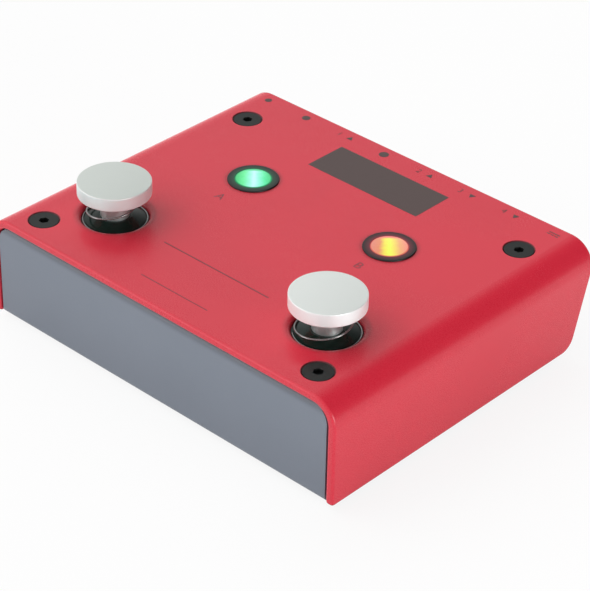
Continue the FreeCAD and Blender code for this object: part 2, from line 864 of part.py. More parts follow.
def make_cap(name, side):
    """The cap: a disc with soft edges and a slightly domed face."""
    radius, arc = cell("cap_radius"), cell("cap_round")
    edge, dome = cell("cap_edge"), cell("cap_dome")
    flat = radius - arc
    dome_radius = (flat * flat + dome * dome) / (dome * 2)
    hole = cell("stub_radius") + cell("stub_gap")
    hole_top = cell("stub_length") + cell("stub_gap")
    profile = (
        (0, hole_top),
        (hole, hole_top),
        (hole, 0),
        (flat, 0, flat, arc, arc),
        (radius, arc),
        (radius, edge - arc, flat, edge - arc, arc),
        (flat, edge, 0, edge + dome - dome_radius, dome_radius),
        (0, edge + dome),
    )
    label = f"footswitch_cap_{name}"
    keep(turned(label, profile, SWITCH_X * side, SWITCH_Y, CAP_UNDER), label)


def make_clip(name, side):
    """The open ring in the shaft's groove, under the guide."""
    inner = cell("shaft_radius") - cell("groove_depth") + cell("press_gap")
    label = f"shaft_clip_{name}"
    body = new_body(label)
    ring = new_sketch(body, "XY_Plane")
    circle(ring, 0, 0, cell("clip_radius"))
    circle(ring, 0, 0, inner)
    extrude(body, "Pad", ring, cell("clip_sheet"))
    mouth = new_sketch(body, "XY_Plane")
    half, reach = cell("clip_mouth") / 2, cell("clip_radius") + BEYOND
    outline(mouth, ((-half, 0), (half, 0), (half, -reach), (-half, -reach)))
    extrude(body, "Pocket", mouth, cell("clip_sheet"), backwards=True)
    place(body, SWITCH_X * side, SWITCH_Y, CLIP_UNDER)
    keep(body, label)


def spring_point(turns, start):
    """A point on the middle line of a return spring. Turns count from the end of its flat foot."""
    climb = cell("spring_climb_turns").value
    share = min(max(turns / climb, 0), 1)
    wire = cell("spring_wire").value
    foot, top = SPRING_FOOT_RADIUS.value, SPRING_TOP_RADIUS.value
    low = COVER_TOP.value - cell("guide_ledge").value + cell("spring_seat_gap").value + wire
    high = CAP_UNDER.value - cell("spring_cap_gap").value - wire
    radius = foot + (top - foot) * share
    angle = math.radians(start) + 2 * math.pi * turns
    return Vector(radius * math.cos(angle), radius * math.sin(angle), low + (high - low) * share)


def spring_way(turns, start):
    """The way that the wire runs at a point."""
    way = spring_point(turns + SMALL_TURN, start) - spring_point(turns - SMALL_TURN, start)
    return way.normalize()


def arc_from(start, way, stop):
    """The arc that leaves start along way and ends at stop."""
    chord = stop - start
    inward = chord - way * chord.dot(way)
    inward.normalize()
    radius = chord.dot(chord) / (2 * inward.dot(chord))
    centre = start + inward * radius
    middle = (start - centre) + (stop - centre)
    middle.normalize()
    return Part.Arc(start, centre + middle * radius, stop).toShape(), radius


def biarc(start, start_way, stop, stop_way):
    """Two arcs that meet smoothly, from start to stop along the given ways, with their radii."""
    chord = stop - start
    ways = start_way + stop_way
    spread = 2 * (1 - start_way.dot(stop_way))
    along = chord.dot(ways)
    reach = (math.sqrt(along * along + spread * chord.dot(chord)) - along) / spread
    join = (start + start_way * reach + stop - stop_way * reach) / 2
    join_way = (stop - stop_way * reach - start - start_way * reach).normalize()
    return (arc_from(start, start_way, join), arc_from(join, join_way, stop))


def least_gap(points, wire, apart):
    """The least gap between two stretches of a wire, for points that are some way apart along it."""
    return min(
        (one - other).Length - 2 * wire
        for here, one in enumerate(points)
        for other in points[here + apart :]
    )


def make_spring(name, side):
    """The conical return spring: a flat foot turn, the climb and a flat top turn, as one tube."""
    start = cell(f"spring_start_{name}").value
    wire, end_turn = cell("spring_wire").value, cell("spring_end_turn").value
    climb = cell("spring_climb_turns").value
    stops = [-end_turn]
    for stretch in (end_turn, climb, end_turn):
        begin = stops[-1]
        steps = math.ceil(stretch * ARCS_PER_TURN)
        stops.extend(begin + stretch * n / steps for n in range(1, steps + 1))
    edges, radii = [], []
    for here, there in zip(stops, stops[1:]):
        begin = (spring_point(here, start), spring_way(here, start))
        for arc, radius in biarc(*begin, spring_point(there, start), spring_way(there, start)):
            edges.append(arc)
            radii.append(radius)
    path = Part.Wire(edges)
    ring = Part.Circle(spring_point(stops[0], start), spring_way(stops[0], start), wire)
    tube = path.makePipeShell([Part.Wire(ring.toShape())], True, False)
    solid = tube if tube.ShapeType == "Solid" else Part.makeSolid(tube)
    count = int((stops[-1] - stops[0]) * POINTS_PER_TURN)
    gap = least_gap(path.discretize(Number=count), wire, POINTS_PER_TURN // 3)
    share = solid.Volume / (math.pi * wire * wire * path.Length)
    label = f"return_spring_{name}"
    print(f"{label}: least gap {gap:.2f}, tightest radius {min(radii):.2f}, volume share {share:.4f}")
    piece = doc.addObject("Part::Feature", label)
    piece.Shape = solid
    piece.Placement = Placement(Vector(SWITCH_X.value * side, SWITCH_Y.value, 0), Rotation())
    keep(piece, label)


def make_module(name, side):
    """The momentary switch under a shaft, and the plunger that the shaft presses down into it."""
    x = SWITCH_X * side
    bore = cell("plunger_radius") + cell("running_gap")
    label = f"switch_module_{name}"
    side_length, height = cell("module_side"), cell("module_height")
    housing = block_on(f"{label}_block", x, SWITCH_Y, BOARD_TOP, side_length, side_length, height)
    well = cylinder(f"{label}_well", x, SWITCH_Y, BOARD_TOP + cell("module_floor"), bore, height)
    soldered(label, cut(f"{label}_cut", housing, well), four_pins(x, SWITCH_Y, cell("module_pin_pitch")))
    foot = MODULE_TOP - cell("plunger_hold")
    plunger = f"switch_plunger_{name}"
    height = SHAFT_FOOT - cell("plunger_touch") - foot
    keep(cylinder(plunger, x, SWITCH_Y, foot, cell("plunger_radius"), height), plunger)


# The lamps


def make_bezel(name, side):
    """The round bezel of a lamp, with the barrel that goes through the cover."""
    inner = cell("lens_radius") + cell("lens_gap")
    lip, arc = cell("bezel_lip"), cell("bezel_round")
    rise, radius = cell("bezel_rise"), cell("bezel_radius")
    profile = (
        (inner, -BEZEL_LENGTH),
        (cell("bezel_barrel"), -BEZEL_LENGTH),
        (cell("bezel_barrel"), 0),
        (radius, 0),
        (radius, rise - arc, radius - arc, rise - arc, arc),
        (radius - arc, rise),
        (inner + lip, rise),
        (inner, rise - lip),
    )
    label = f"lamp_bezel_{name}"
    keep(turned(label, profile, LAMP_X * side, LAMP_Y, COVER_TOP), label)


def make_lens(name, side):
    """The lamp itself: a clear round body with a domed end and a flange below the barrel."""
    radius, dome, rim = cell("lens_radius"), cell("lens_dome"), cell("lens_rim")
    dome_radius = (radius * radius + dome * dome) / (dome * 2)
    foot = -BEZEL_LENGTH
    profile = (
        (0, foot - cell("lens_flange_height")),
        (cell("lens_flange"), foot - cell("lens_flange_height")),
        (cell("lens_flange"), foot),
        (radius, foot),
        (radius, rim, 0, rim + dome - dome_radius, dome_radius),
        (0, rim + dome),
    )
    label = f"lamp_led_{name}"
    keep(turned(label, profile, LAMP_X * side, LAMP_Y, COVER_TOP), label)
    leads = []
    low = BOARD_UNDER - cell("lead_tail")
    high = COVER_TOP - BEZEL_LENGTH - cell("lens_flange_height")
    for end in (-1, 1):
        x = LAMP_X * side + cell("lead_pitch") / 2 * end
        leads.append(block_on("lead", x, LAMP_Y, low, cell("lead_side"), cell("lead_side"), high - low))
        board_holes.append((x, LAMP_Y))
    keep(group(f"lamp_leads_{name}", leads), f"lamp_leads_{name}")


def make_lamp_nuts():
    """The two nuts that hold the bezels from under the cover."""
    z = UNDER_COVER - cell("lamp_nut_height")
    bore = cell("bezel_barrel") + cell("press_gap")
    nuts = []
    for _, side in SIDES:
        bar = hexagon("lamp_nut", LAMP_X * side, LAMP_Y, z, cell("lamp_nut"), cell("lamp_nut_height"))
        hole = cylinder("lamp_nut_bore", LAMP_X * side, LAMP_Y, z, bore, cell("lamp_nut_height"))
        nuts.append(cut("lamp_nut_cut", bar, hole))
    keep(group("lamp_nuts", nuts), "lamp_nuts")


# The board


def make_components():
    """Relays, transformer, chip and smoothing capacitor, each standing on the board."""
    for name, side in SIDES:
        x, y = cell("relay_x") * side, FRONT + cell("relay_y")
        label = f"signal_relay_{name}"
        size = (cell("relay_width"), cell("relay_depth"), cell("relay_height"))
        block = block_on(f"{label}_block", x, y, BOARD_TOP, *size)
        pitch = cell("relay_pin_pitch")
        rows = (-1.5, -0.5, 0.5, 1.5)
        pins = [(x + pitch * column, y + pitch * row) for column in (-1, 1) for row in rows]
        soldered(label, block, pins)
    y = FRONT + cell("transformer_y")
    label = "isolation_transformer"
    size = (cell("transformer_width"), cell("transformer_depth"), cell("transformer_height"))
    pitch = cell("transformer_pin_pitch")
    pins = [(pitch * column, y + pitch * row) for column in (-1, 0, 1) for row in (-1, 1)]
    soldered(label, block_on(f"{label}_block", as_size(0), y, BOARD_TOP, *size), pins)
    size = (cell("chip_width"), cell("chip_depth"), cell("chip_height"))
    chip = block_on("microcontroller", as_size(0), FRONT + cell("chip_y"), BOARD_TOP, *size)
    keep(chip, "microcontroller")
    x, y = HALF_WIDTH - cell("can_side_inset"), FRONT + cell("can_y")
    radius, height, arc = cell("can_radius"), cell("can_height"), cell("can_round")
    profile = (
        (0, 0),
        (radius, 0),
        (radius, height - arc, radius - arc, height - arc, arc),
        (radius - arc, height),
        (0, height),
    )
    can = turned("capacitor_can", profile, x, y, BOARD_TOP)
    half = cell("can_pin_pitch") / 2
    soldered("filter_capacitor", can, [(x - half, y), (x + half, y)])


def make_board():
    """The board, its spacers pressed into the tray's floor, and its screws."""
    body = new_body("main_board")
    low, high = TRAY_FRONT + cell("board_front_gap"), PANEL_INSIDE - cell("board_rear_gap")
    half = INNER_WALL - cell("board_side_gap")
    plate = new_sketch(body, "XY_Plane", BOARD_UNDER)
    outline(plate, ((-half, low), (half, low), (half, high), (-half, high)))
    extrude(body, "Pad", plate, cell("board_sheet"))
    holes = new_sketch(body, "XY_Plane", BOARD_UNDER)
    for x, y in board_holes:
        circle(holes, x, y, cell("pin_hole"))
    for side, y in SPACERS:
        circle(holes, SPACER_X * side, y, cell("spacer_bore"))
    extrude(body, "Pocket", holes, cell("board_sheet"), backwards=True)
    keep(body, "main_board")

    lift, shank, bore = cell("board_lift"), cell("spacer_shank"), cell("spacer_bore")
    spacer = (
        (bore, -cell("tray_sheet")),
        (shank, -cell("tray_sheet")),
        (shank, 0),
        (cell("spacer_radius"), 0),
        (cell("spacer_radius"), lift),
        (bore, lift),
    )
    spacers = [turned("board_spacer", spacer, SPACER_X * side, y, TRAY_FLOOR) for side, y in SPACERS]
    keep(group("board_spacers", spacers), "board_spacers")
    rod, head = cell("board_screw_shank"), cell("board_screw_head")
    screw = (
        (0, -cell("board_screw_reach")),
        (rod, -cell("board_screw_reach")),
        (rod, 0),
        (head, 0),
        (head, cell("board_screw_head_height")),
        (0, cell("board_screw_head_height")),
    )
    screws = [turned("board_screw", screw, SPACER_X * side, y, BOARD_TOP) for side, y in SPACERS]
    keep(group("board_screws", screws), "board_screws")


# The rear row


def make_jack(number, x):
    """A 6.35 mm socket: plastic body on the board, metal bushing in the panel, and its contact leaf."""
    width, depth, height = cell("jack_width"), cell("jack_depth"), cell("jack_height")
    back = PANEL_INSIDE - depth
    label = f"jack_body_{number}"
    block = box(f"{label}_block", x - width / 2, back, BOARD_TOP, width, depth, height)
    seat = cylinder(
        f"{label}_seat",
        x,
        PANEL_INSIDE - cell("bushing_inside"),
        JACK_AXIS,
        cell("bushing_radius") + cell("press_gap"),
        cell("bushing_inside"),
        ALONG_Y,
    )
    channel = cylinder(
        f"{label}_channel",
        x,
        back + cell("jack_wall"),
        JACK_AXIS,
        cell("jack_channel"),
        depth - cell("jack_wall"),
        ALONG_Y,
    )
    slot_width = cell("leaf_width") + cell("leaf_slot_gap") * 2
    slot_start = back + cell("jack_wall") + cell("leaf_slot_gap")
    slot = box(
        f"{label}_slot",
        x - slot_width / 2,
        slot_start,
        JACK_AXIS,
        slot_width,
        cell("leaf_span") + cell("leaf_slot_gap") * 2,
        cell("leaf_high"),
    )
    pins = [(x, back + cell("jack_tip_pin"))]
    pins += [(x + cell("jack_pin_pitch") * side, back + cell("jack_side_pin")) for side in (-1, 1)]
    soldered(label, cut(f"{label}_cut", block, seat, channel, slot), pins)

    bore, chamfer = cell("jack_bore"), cell("jack_bore_chamfer")
    length = cell("bushing_inside") + cell("tray_sheet") + cell("bushing_outside")
    profile = (
        (bore, 0),
        (cell("bushing_radius"), 0),
        (cell("bushing_radius"), length),
        (bore + chamfer, length),
        (bore, length - chamfer),
    )
    bushing = f"jack_bushing_{number}"
    start = PANEL_INSIDE - cell("bushing_inside")
    keep(turned(bushing, profile, x, start, JACK_AXIS, ALONG_Y), bushing)

    leaf = f"jack_contact_{number}"
    body = new_body(leaf)
    side = new_sketch(body, "YZ_Plane")
    span, crown, thick = cell("leaf_span"), cell("leaf_crown"), cell("leaf_sheet")
    top, low = cell("leaf_high"), cell("leaf_low")
    tip = (top + low) / 2
    outline(
        side,
        (
            (span, top),
            (span - cell("leaf_foot"), top),
            (span - crown, low + thick),
            (0, tip + thick),
            (0, tip),
            (span - crown, low),
            (span - cell("leaf_foot"), top - thick),
            (span, top - thick),
        ),
    )
    extrude(body, "Pad", side, cell("leaf_width"), "Symmetric")
    place(body, x, slot_start + cell("leaf_slot_gap"), JACK_AXIS)
    keep(body, leaf)


def make_jack_nuts():
    """The washers and six-sided nuts on the four bushings, outside the rear panel."""
    bore = cell("bushing_radius") + cell("press_gap")
    washers, nuts = [], []
    flats_sideways = ALONG_Y.multiply(Rotation(Vector(0, 0, 1), 30))
    for number in JACK_PLACES:
        x = row_x(number)
        sheet_size, height = cell("jack_washer_sheet"), cell("jack_nut_height")
        disc = cylinder("jack_washer", x, TRAY_REAR, JACK_AXIS, cell("jack_washer"), sheet_size, ALONG_Y)
        hole = cylinder("jack_washer_bore", x, TRAY_REAR, JACK_AXIS, bore, sheet_size, ALONG_Y)
        washers.append(cut("jack_washer_cut", disc, hole))
        bar = hexagon("jack_nut", x, NUT_FACE, JACK_AXIS, cell("jack_nut"), height, flats_sideways)
        thread = cylinder("jack_nut_bore", x, NUT_FACE, JACK_AXIS, bore, height, ALONG_Y)
        nuts.append(cut("jack_nut_cut", bar, thread))
    keep(group("jack_washers", washers), "jack_washers")
    keep(group("jack_nuts", nuts), "jack_nuts")


def make_dc_socket():
    """The power socket: body with a round nose in the panel, and the pin in its bore."""
    x = row_x(DC_PLACE)
    width, depth, height = cell("dc_width"), cell("dc_depth"), cell("dc_height")
    back = PANEL_INSIDE - depth
    block = box("dc_block", x - width / 2, back, BOARD_TOP, width, depth, height)
    nose = cylinder("dc_nose", x, PANEL_INSIDE, DC_AXIS, cell("dc_nose"), cell("tray_sheet"), ALONG_Y)
    mouth = TRAY_REAR - cell("dc_bore_depth")
    bore = cylinder("dc_bore", x, mouth, DC_AXIS, cell("dc_bore"), cell("dc_bore_depth"), ALONG_Y)
    seat_radius = cell("dc_pin") + cell("press_gap")
    root = mouth - cell("dc_pin_seat")
    seat = cylinder("dc_seat", x, root, DC_AXIS, seat_radius, cell("dc_pin_seat"), ALONG_Y)
    pins = [(x, back + cell("dc_back_pin"))]
    pins += [(x + cell("dc_pin_pitch") / 2 * side, back + cell("dc_side_pin")) for side in (-1, 1)]
    soldered("dc_socket_body", cut("dc_cut", fuse("dc_fuse", [block, nose]), bore, seat), pins)
    arc = cell("dc_pin_round")
    length = cell("dc_pin_seat") + cell("dc_bore_depth") - cell("dc_pin_inset")
    profile = (
        (0, 0),
        (cell("dc_pin"), 0),
        (cell("dc_pin"), length - arc, cell("dc_pin") - arc, length - arc, arc),
        (cell("dc_pin") - arc, length),
        (0, length),
    )
    keep(turned("dc_socket_pin", profile, x, root, DC_AXIS, ALONG_Y), "dc_socket_pin")


def make_push_button(number, x):
    """A rear push-button with its stem, and the switch on the board that it slides in."""
    tip = TRAY_REAR + cell("button_proud")
    back = PANEL_INSIDE - cell("button_back") + cell("button_travel") + cell("button_stop")
    stem_end = back - cell("button_stem_length")
    face = PANEL_INSIDE - cell("button_back")
    radius, arc = cell("button_radius"), cell("button_round")
    stem, reach = cell("button_stem"), cell("button_stem_length")
    profile = (
        (0, 0),
        (stem, 0),
        (stem, reach),
        (radius, reach),
        (radius, tip - stem_end - arc, radius - arc, tip - stem_end - arc, arc),
        (radius - arc, tip - stem_end),
        (0, tip - stem_end),
    )
    label = f"push_button_{number}"
    keep(turned(label, profile, x, stem_end, BUTTON_AXIS, ALONG_Y), label)
    side, depth = cell("button_switch_side"), cell("button_switch_depth")
    switch = f"push_switch_body_{number}"
    block = box(f"{switch}_block", x - side / 2, face - depth, BOARD_TOP, side, depth, side)
    well_end = stem_end - cell("button_travel") - cell("button_stop")
    well = cylinder(
        f"{switch}_well", x, well_end, BUTTON_AXIS, stem + cell("running_gap"), face - well_end, ALONG_Y
    )
    pitch = cell("button_switch_pitch")
    middle = face - depth / 2
    pins = [(x + pitch * side_of, middle + pitch * row) for side_of in (-1, 1) for row in (-1, 0, 1)]
    soldered(switch, cut(f"{switch}_cut", block, well), pins)


make_cover()
make_tray()
make_feet()
make_cover_screws()
make_press_nuts()
for name, side in SIDES:
    make_cap(name, side)
    make_shaft(name, side)
    make_clip(name, side)
    make_guide(name, side)
    make_spring(name, side)
    make_module(name, side)
    make_bezel(name, side)
    make_lens(name, side)
make_guide_nuts()
make_lamp_nuts()
make_components()
for number, index in enumerate(JACK_PLACES, 1):
    make_jack(number, row_x(index))
make_jack_nuts()
make_dc_socket()
for number, index in enumerate(BUTTON_PLACES, 1):
    make_push_button(number, row_x(index))
make_board()

doc.recompute()
for item in doc.Objects:
    if "Invalid" in item.State or "Error" in item.State:
        raise ValueError(f"{item.Label} failed: {item.State}")
for piece in nodes:
    shape = piece.Shape
    if shape.isNull() or not shape.isValid() or not shape.Solids:
        raise ValueError(f"{piece.Label} has no valid solid")

os.makedirs("parts", exist_ok=True)
for piece in nodes:
    piece.Shape.exportStep(f"parts/{piece.Label}.step")
    print(f"{piece.Label}: {len(piece.Shape.Solids)} solids, {piece.Shape.Volume:.1f} cubic mm")
print(f"{len(nodes)} nodes")
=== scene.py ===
"""The looks of a two-channel foot switch box: enamel, bright metal, lit lamps, springs and printing.

Every length is in metres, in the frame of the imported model: +X to the right, +Y to the rear and +Z up.
"""

import logging
import math
from collections.abc import Callable, Sequence
from dataclasses import dataclass, field, replace
from enum import Enum

import bmesh
import bpy
from mathutils import Matrix, Vector


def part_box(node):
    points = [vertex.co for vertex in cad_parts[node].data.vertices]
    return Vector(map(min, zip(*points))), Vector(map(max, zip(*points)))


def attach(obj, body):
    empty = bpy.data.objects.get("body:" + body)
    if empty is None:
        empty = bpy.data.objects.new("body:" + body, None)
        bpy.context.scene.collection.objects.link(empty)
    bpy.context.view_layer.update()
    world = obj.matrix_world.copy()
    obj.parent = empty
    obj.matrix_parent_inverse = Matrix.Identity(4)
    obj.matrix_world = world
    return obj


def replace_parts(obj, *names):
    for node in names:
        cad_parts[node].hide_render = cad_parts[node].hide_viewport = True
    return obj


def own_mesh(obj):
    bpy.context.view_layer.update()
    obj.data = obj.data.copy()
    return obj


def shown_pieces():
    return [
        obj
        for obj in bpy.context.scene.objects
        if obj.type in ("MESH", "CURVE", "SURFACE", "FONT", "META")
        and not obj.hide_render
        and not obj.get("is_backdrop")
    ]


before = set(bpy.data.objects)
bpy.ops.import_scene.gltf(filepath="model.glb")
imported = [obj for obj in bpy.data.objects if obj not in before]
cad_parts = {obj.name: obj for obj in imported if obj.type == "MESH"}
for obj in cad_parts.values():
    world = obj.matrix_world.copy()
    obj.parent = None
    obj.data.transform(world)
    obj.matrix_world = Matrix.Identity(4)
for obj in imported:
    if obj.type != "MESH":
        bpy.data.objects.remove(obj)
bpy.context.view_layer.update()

LOG = logging.getLogger("foot_switch_box")
MM = 0.001
ROOT = "root"
UP = Vector((0.0, 0.0, 1.0))

Colour = tuple[float, float, float]
Point = tuple[float, float, float]
Spot = tuple[float, float]
Oblong = tuple[float, float, float, float]

WHITE: Colour = (1.0, 1.0, 1.0)
BLACK: Colour = (0.0, 0.0, 0.0)


class Side(Enum):
    """The two channels of the box, with the side of the middle that each lies on."""

    A = -1
    B = 1

    @property
    def letter(self) -> str:
        """The channel's letter as the nodes' names end."""
        return self.name.lower()


# Shading


class Flow:
    """An output socket of a shader tree, on which plain sums can be written."""

    def __init__(self, shading: "Shading", socket: bpy.types.NodeSocket | None) -> None:
        """Wraps an output socket of a tree, or nothing where the tree ends."""
        self.shading = shading
        self.socket = socket

    def sum(self, operation: str, *values: "Flow | float") -> "Flow":
        """The result of a new Math node, from its operation and its inputs in order."""
        return self.shading.add("ShaderNodeMath", {"operation": operation}, dict(enumerate(values)))

    def __add__(self, other: "Flow | float") -> "Flow":
        """This plus another."""
        return self.sum("ADD", self, other)

    def __radd__(self, other: float) -> "Flow":
        """A number plus this."""
        return self.sum("ADD", other, self)

    def __sub__(self, other: "Flow | float") -> "Flow":
        """This less another."""
        return self.sum("SUBTRACT", self, other)

    def __rsub__(self, other: float) -> "Flow":
        """A number less this."""
        return self.sum("SUBTRACT", other, self)

    def __mul__(self, other: "Flow | float") -> "Flow":
        """This times another."""
        return self.sum("MULTIPLY", self, other)

    def __rmul__(self, other: float) -> "Flow":
        """A number times this."""
        return self.sum("MULTIPLY", other, self)

    def __truediv__(self, other: "Flow | float") -> "Flow":
        """This over another."""
        return self.sum("DIVIDE", self, other)

    def __rtruediv__(self, other: float) -> "Flow":
        """A number over this."""
        return self.sum("DIVIDE", other, self)

    def __abs__(self) -> "Flow":
        """This without its sign."""
        return self.sum("ABSOLUTE", self)

    def sine(self) -> "Flow":
        """The sine of this."""
        return self.sum("SINE", self)

    def root(self) -> "Flow":
        """The square root of this."""
        return self.sum("SQRT", self)

    def sway(self, share: float) -> "Flow":
        """A share of how far noise about 0.5 strays from it."""
        return (self - 0.5) * share

    def step(self, low: float, high: float) -> "Flow":
        """A smooth step from 0 at low to 1 at high, which may be the lower of the two."""
        spans = {"Value": self, "From Min": low, "From Max": high}
        return self.shading.add("ShaderNodeMapRange", {"interpolation_type": "SMOOTHSTEP"}, spans)


class Shading:
    """The node tree of one material, or of the world."""

    def __init__(self, owner: bpy.types.Material | bpy.types.World) -> None:
        """Starts an empty tree.

        Args:
            owner: The material or the world.
        """
        owner.use_nodes = True
        self.owner = owner
        self.tree = owner.node_tree
        self.tree.nodes.clear()

    @classmethod
    def named(cls, name: str) -> "Shading":
        """The empty tree of a new material."""
        return cls(bpy.data.materials.new(name))

    def add(
        self,
        kind: str,
        settings: dict[str, object] | None = None,
        inputs: dict[str | int, object] | None = None,
        output: str | int = 0,
    ) -> Flow:
        """Adds a node.

        Args:
            kind: The node's type.
            settings: Its properties. A ramp's stops are given as "stops": {place: colour}.
            inputs: What goes into its sockets, by name or number.
            output: The socket that is wanted, by name or number.

        Returns:
            That output.
        """
        node = self.tree.nodes.new(kind)
        for name, value in (settings or {}).items():
            if name == "stops":
                self.set_stops(node, value)
            else:
                setattr(node, name, value)
        for name, value in (inputs or {}).items():
            self.feed(node.inputs[name], value)
        return Flow(self, node.outputs[output] if node.outputs else None)

    def feed(self, socket: bpy.types.NodeSocket, value: object) -> None:
        """Sets or links an input socket.

        Args:
            socket: The input.
            value: A Flow, a number or a tuple. A colour of three numbers gets an alpha of 1.
        """
        if isinstance(value, Flow):
            self.tree.links.new(value.socket, socket)
        elif socket.type == "RGBA" and len(value) == 3:
            socket.default_value = (*value, 1.0)
        else:
            socket.default_value = value

    def set_stops(self, ramp: bpy.types.Node, stops: dict[float, Colour]) -> None:
        """Gives a colour ramp its stops.

        Args:
            ramp: The ColorRamp node.
            stops: Colours by place.
        """
        elements = ramp.color_ramp.elements
        while len(elements) < len(stops):
            elements.new(0.5)
        for element, place in zip(elements, sorted(stops)):
            element.position = place
            element.color = (*stops[place], 1.0)

    def place(self) -> Flow:
        """Where a point lies on the piece, in the model's frame."""
        return self.add("ShaderNodeTexCoord", output="Object")

    def parts(self, vector: Flow) -> tuple[Flow, Flow, Flow]:
        """The three numbers of a vector."""
        node = self.add("ShaderNodeSeparateXYZ", inputs={0: vector}).socket.node
        return tuple(Flow(self, output) for output in node.outputs)

    def noise(self, grain: float, detail: float = 2.0) -> Flow:
        """Soft noise about 0.5, from the size of its spots and how many finer layers it has."""
        inputs = {"Vector": self.place(), "Scale": 1.0 / grain, "Detail": detail}
        return self.add("ShaderNodeTexNoise", inputs=inputs)

    def mix(self, share: Flow | float, first: Flow | Colour, second: Flow | Colour) -> Flow:
        """A colour mixed from two, with a given share of the second."""
        inputs = {"Factor": share, "A": first, "B": second}
        return self.add("ShaderNodeMix", {"data_type": "RGBA"}, inputs, "Result")

    def bump(self, height: Flow, depth: float) -> Flow:
        """A normal bumped by a relief of about 0 to 1, from the depth of a relief of 1."""
        return self.add("ShaderNodeBump", inputs={"Height": height, "Distance": depth, "Strength": 1.0})


def reach(across: Flow, back: Flow) -> Flow:
    """How far a point is from an axis, from its two offsets."""
    return (across * across + back * back).root()


def toned(colour: Colour, times: float) -> Colour:
    """A colour made darker or lighter, up to white."""
    return tuple(min(channel * times, 1.0) for channel in colour)


# The finishes


@dataclass(frozen=True)
class Finish:
    """What a surface is made of."""

    name: str

    def make(self) -> bpy.types.Material:
        """Builds the material.

        Returns:
            The material.
        """
        shading = Shading.named(self.name)
        surface = shading.add("ShaderNodeBsdfPrincipled", inputs=self.surface(shading))
        shading.add("ShaderNodeOutputMaterial", inputs={"Surface": surface})
        return shading.owner

    def surface(self, shading: Shading) -> dict[str, object]:
        """What goes into the shader, by the names of its inputs."""
        raise NotImplementedError


@dataclass(frozen=True)
class Enamel(Finish):
    """Stove enamel over steel: faint orange peel, and a colour and gloss that vary a little.

    Attributes:
        shade: A deeper tone, in clouds and specks.
        dark: The colour of the painted shade in gaps, in recesses and along edges.
    """

    colour: Colour
    shade: Colour
    dark: Colour
    gloss: float
    shine: float = 0.5
    peel: float = 1.1 * MM
    relief: float = 0.012 * MM
    cloud: float = 35.0 * MM
    speck: float = 0.25 * MM

    def surface(self, shading: Shading) -> dict[str, object]:
        """What goes into the shader.

        Args:
            shading: The material's tree.

        Returns:
            Its inputs by name.
        """
        cloud = shading.noise(self.cloud, 3.0)
        speck = shading.noise(self.speck)
        peel = shading.noise(self.peel, 1.0)
        body = shading.mix(cloud.step(0.35, 0.65) * 0.6 + speck * 0.25, self.colour, self.shade)
        return {
            # The dark colour mixed in here is painted shade.
            "Base Color": shading.mix(self.grime(shading), body, self.dark),
            "Roughness": self.gloss + cloud.sway(0.10) + speck.sway(0.08),
            "Normal": shading.bump(peel + speck * 0.35, self.relief),
            "Specular IOR Level": self.shine,
        }

    def grime(self, shading: Shading) -> Flow | float:
        """How much painted shade shows at a point: none on plain enamel."""
        return 0.0


@dataclass(frozen=True)
class CoverEnamel(Enamel):
    """The cover's enamel, with painted shade in the countersinks, along the foot and round the holes.

    Attributes:
        foot: The height of the cover's lower edge.
        foot_fade: How far up from there the painted shade reaches.
        screws: How far each screw is to the side and to the rear of the middle of all four.
        screws_middle: How far to the rear that middle lies.
        countersink_edge: How far a countersink's edge fades outwards and inwards.
        holes: The place and radius of each hole of the right half. The left half mirrors them.
        ring: The width of the ring of painted shade round a hole.
    """

    foot: float = 0.0
    foot_fade: float = 0.9 * MM
    foot_share: float = 0.45
    screws: Spot = (50.0 * MM, 39.15 * MM)
    screws_middle: float = -4.15 * MM
    countersink: float = 4.40 * MM
    countersink_edge: Spot = (0.12 * MM, 0.10 * MM)
    countersink_share: float = 0.85
    holes: tuple[tuple[float, float, float], ...] = ()
    ring: float = 1.6 * MM
    ring_share: float = 0.30

    def grime(self, shading: Shading) -> Flow | float:
        """How much painted shade shows at a point.

        Args:
            shading: The material's tree.

        Returns:
            The share, from 0 to 1.
        """
        x, y, z = shading.parts(shading.place())
        rings: Flow | float = 0.0
        # Painted shade: a ring round each hole, darkest at its edge.
        for hole_x, hole_y, radius in self.holes:
            away = reach(abs(x) - hole_x, y - hole_y)
            rings = away.step(radius + self.ring, radius) * self.ring_share + rings
        # Painted shade in each screw's countersink, round the head.
        away = reach(abs(x) - self.screws[0], abs(y - self.screws_middle) - self.screws[1])
        outwards, inwards = self.countersink_edge
        sunk = away.step(self.countersink + outwards, self.countersink - inwards)
        # Painted shade along the cover's lower edge.
        edge = z.step(self.foot + self.foot_fade, self.foot)
        return sunk * self.countersink_share + edge * self.foot_share + rings


@dataclass(frozen=True)
class TrayEnamel(Enamel):
    """The tray's enamel, with painted shade under the cover's lip and towards the foot.

    Attributes:
        foot: The height below which the painted shade at the foot is darkest.
        waist: The height at which both bands of painted shade end.
        lip: The height above which the painted shade under the lip is darkest.
    """

    foot: float = 3.0 * MM
    waist: float = 27.0 * MM
    lip: float = 29.8 * MM
    foot_share: float = 0.16
    lip_share: float = 0.55

    def grime(self, shading: Shading) -> Flow | float:
        """How much painted shade shows at a point."""
        z = shading.parts(shading.place())[2]
        # Painted shade: darker under the cover's lip and towards the foot.
        return z.step(self.waist, self.lip) * self.lip_share + z.step(self.waist, self.foot) * self.foot_share


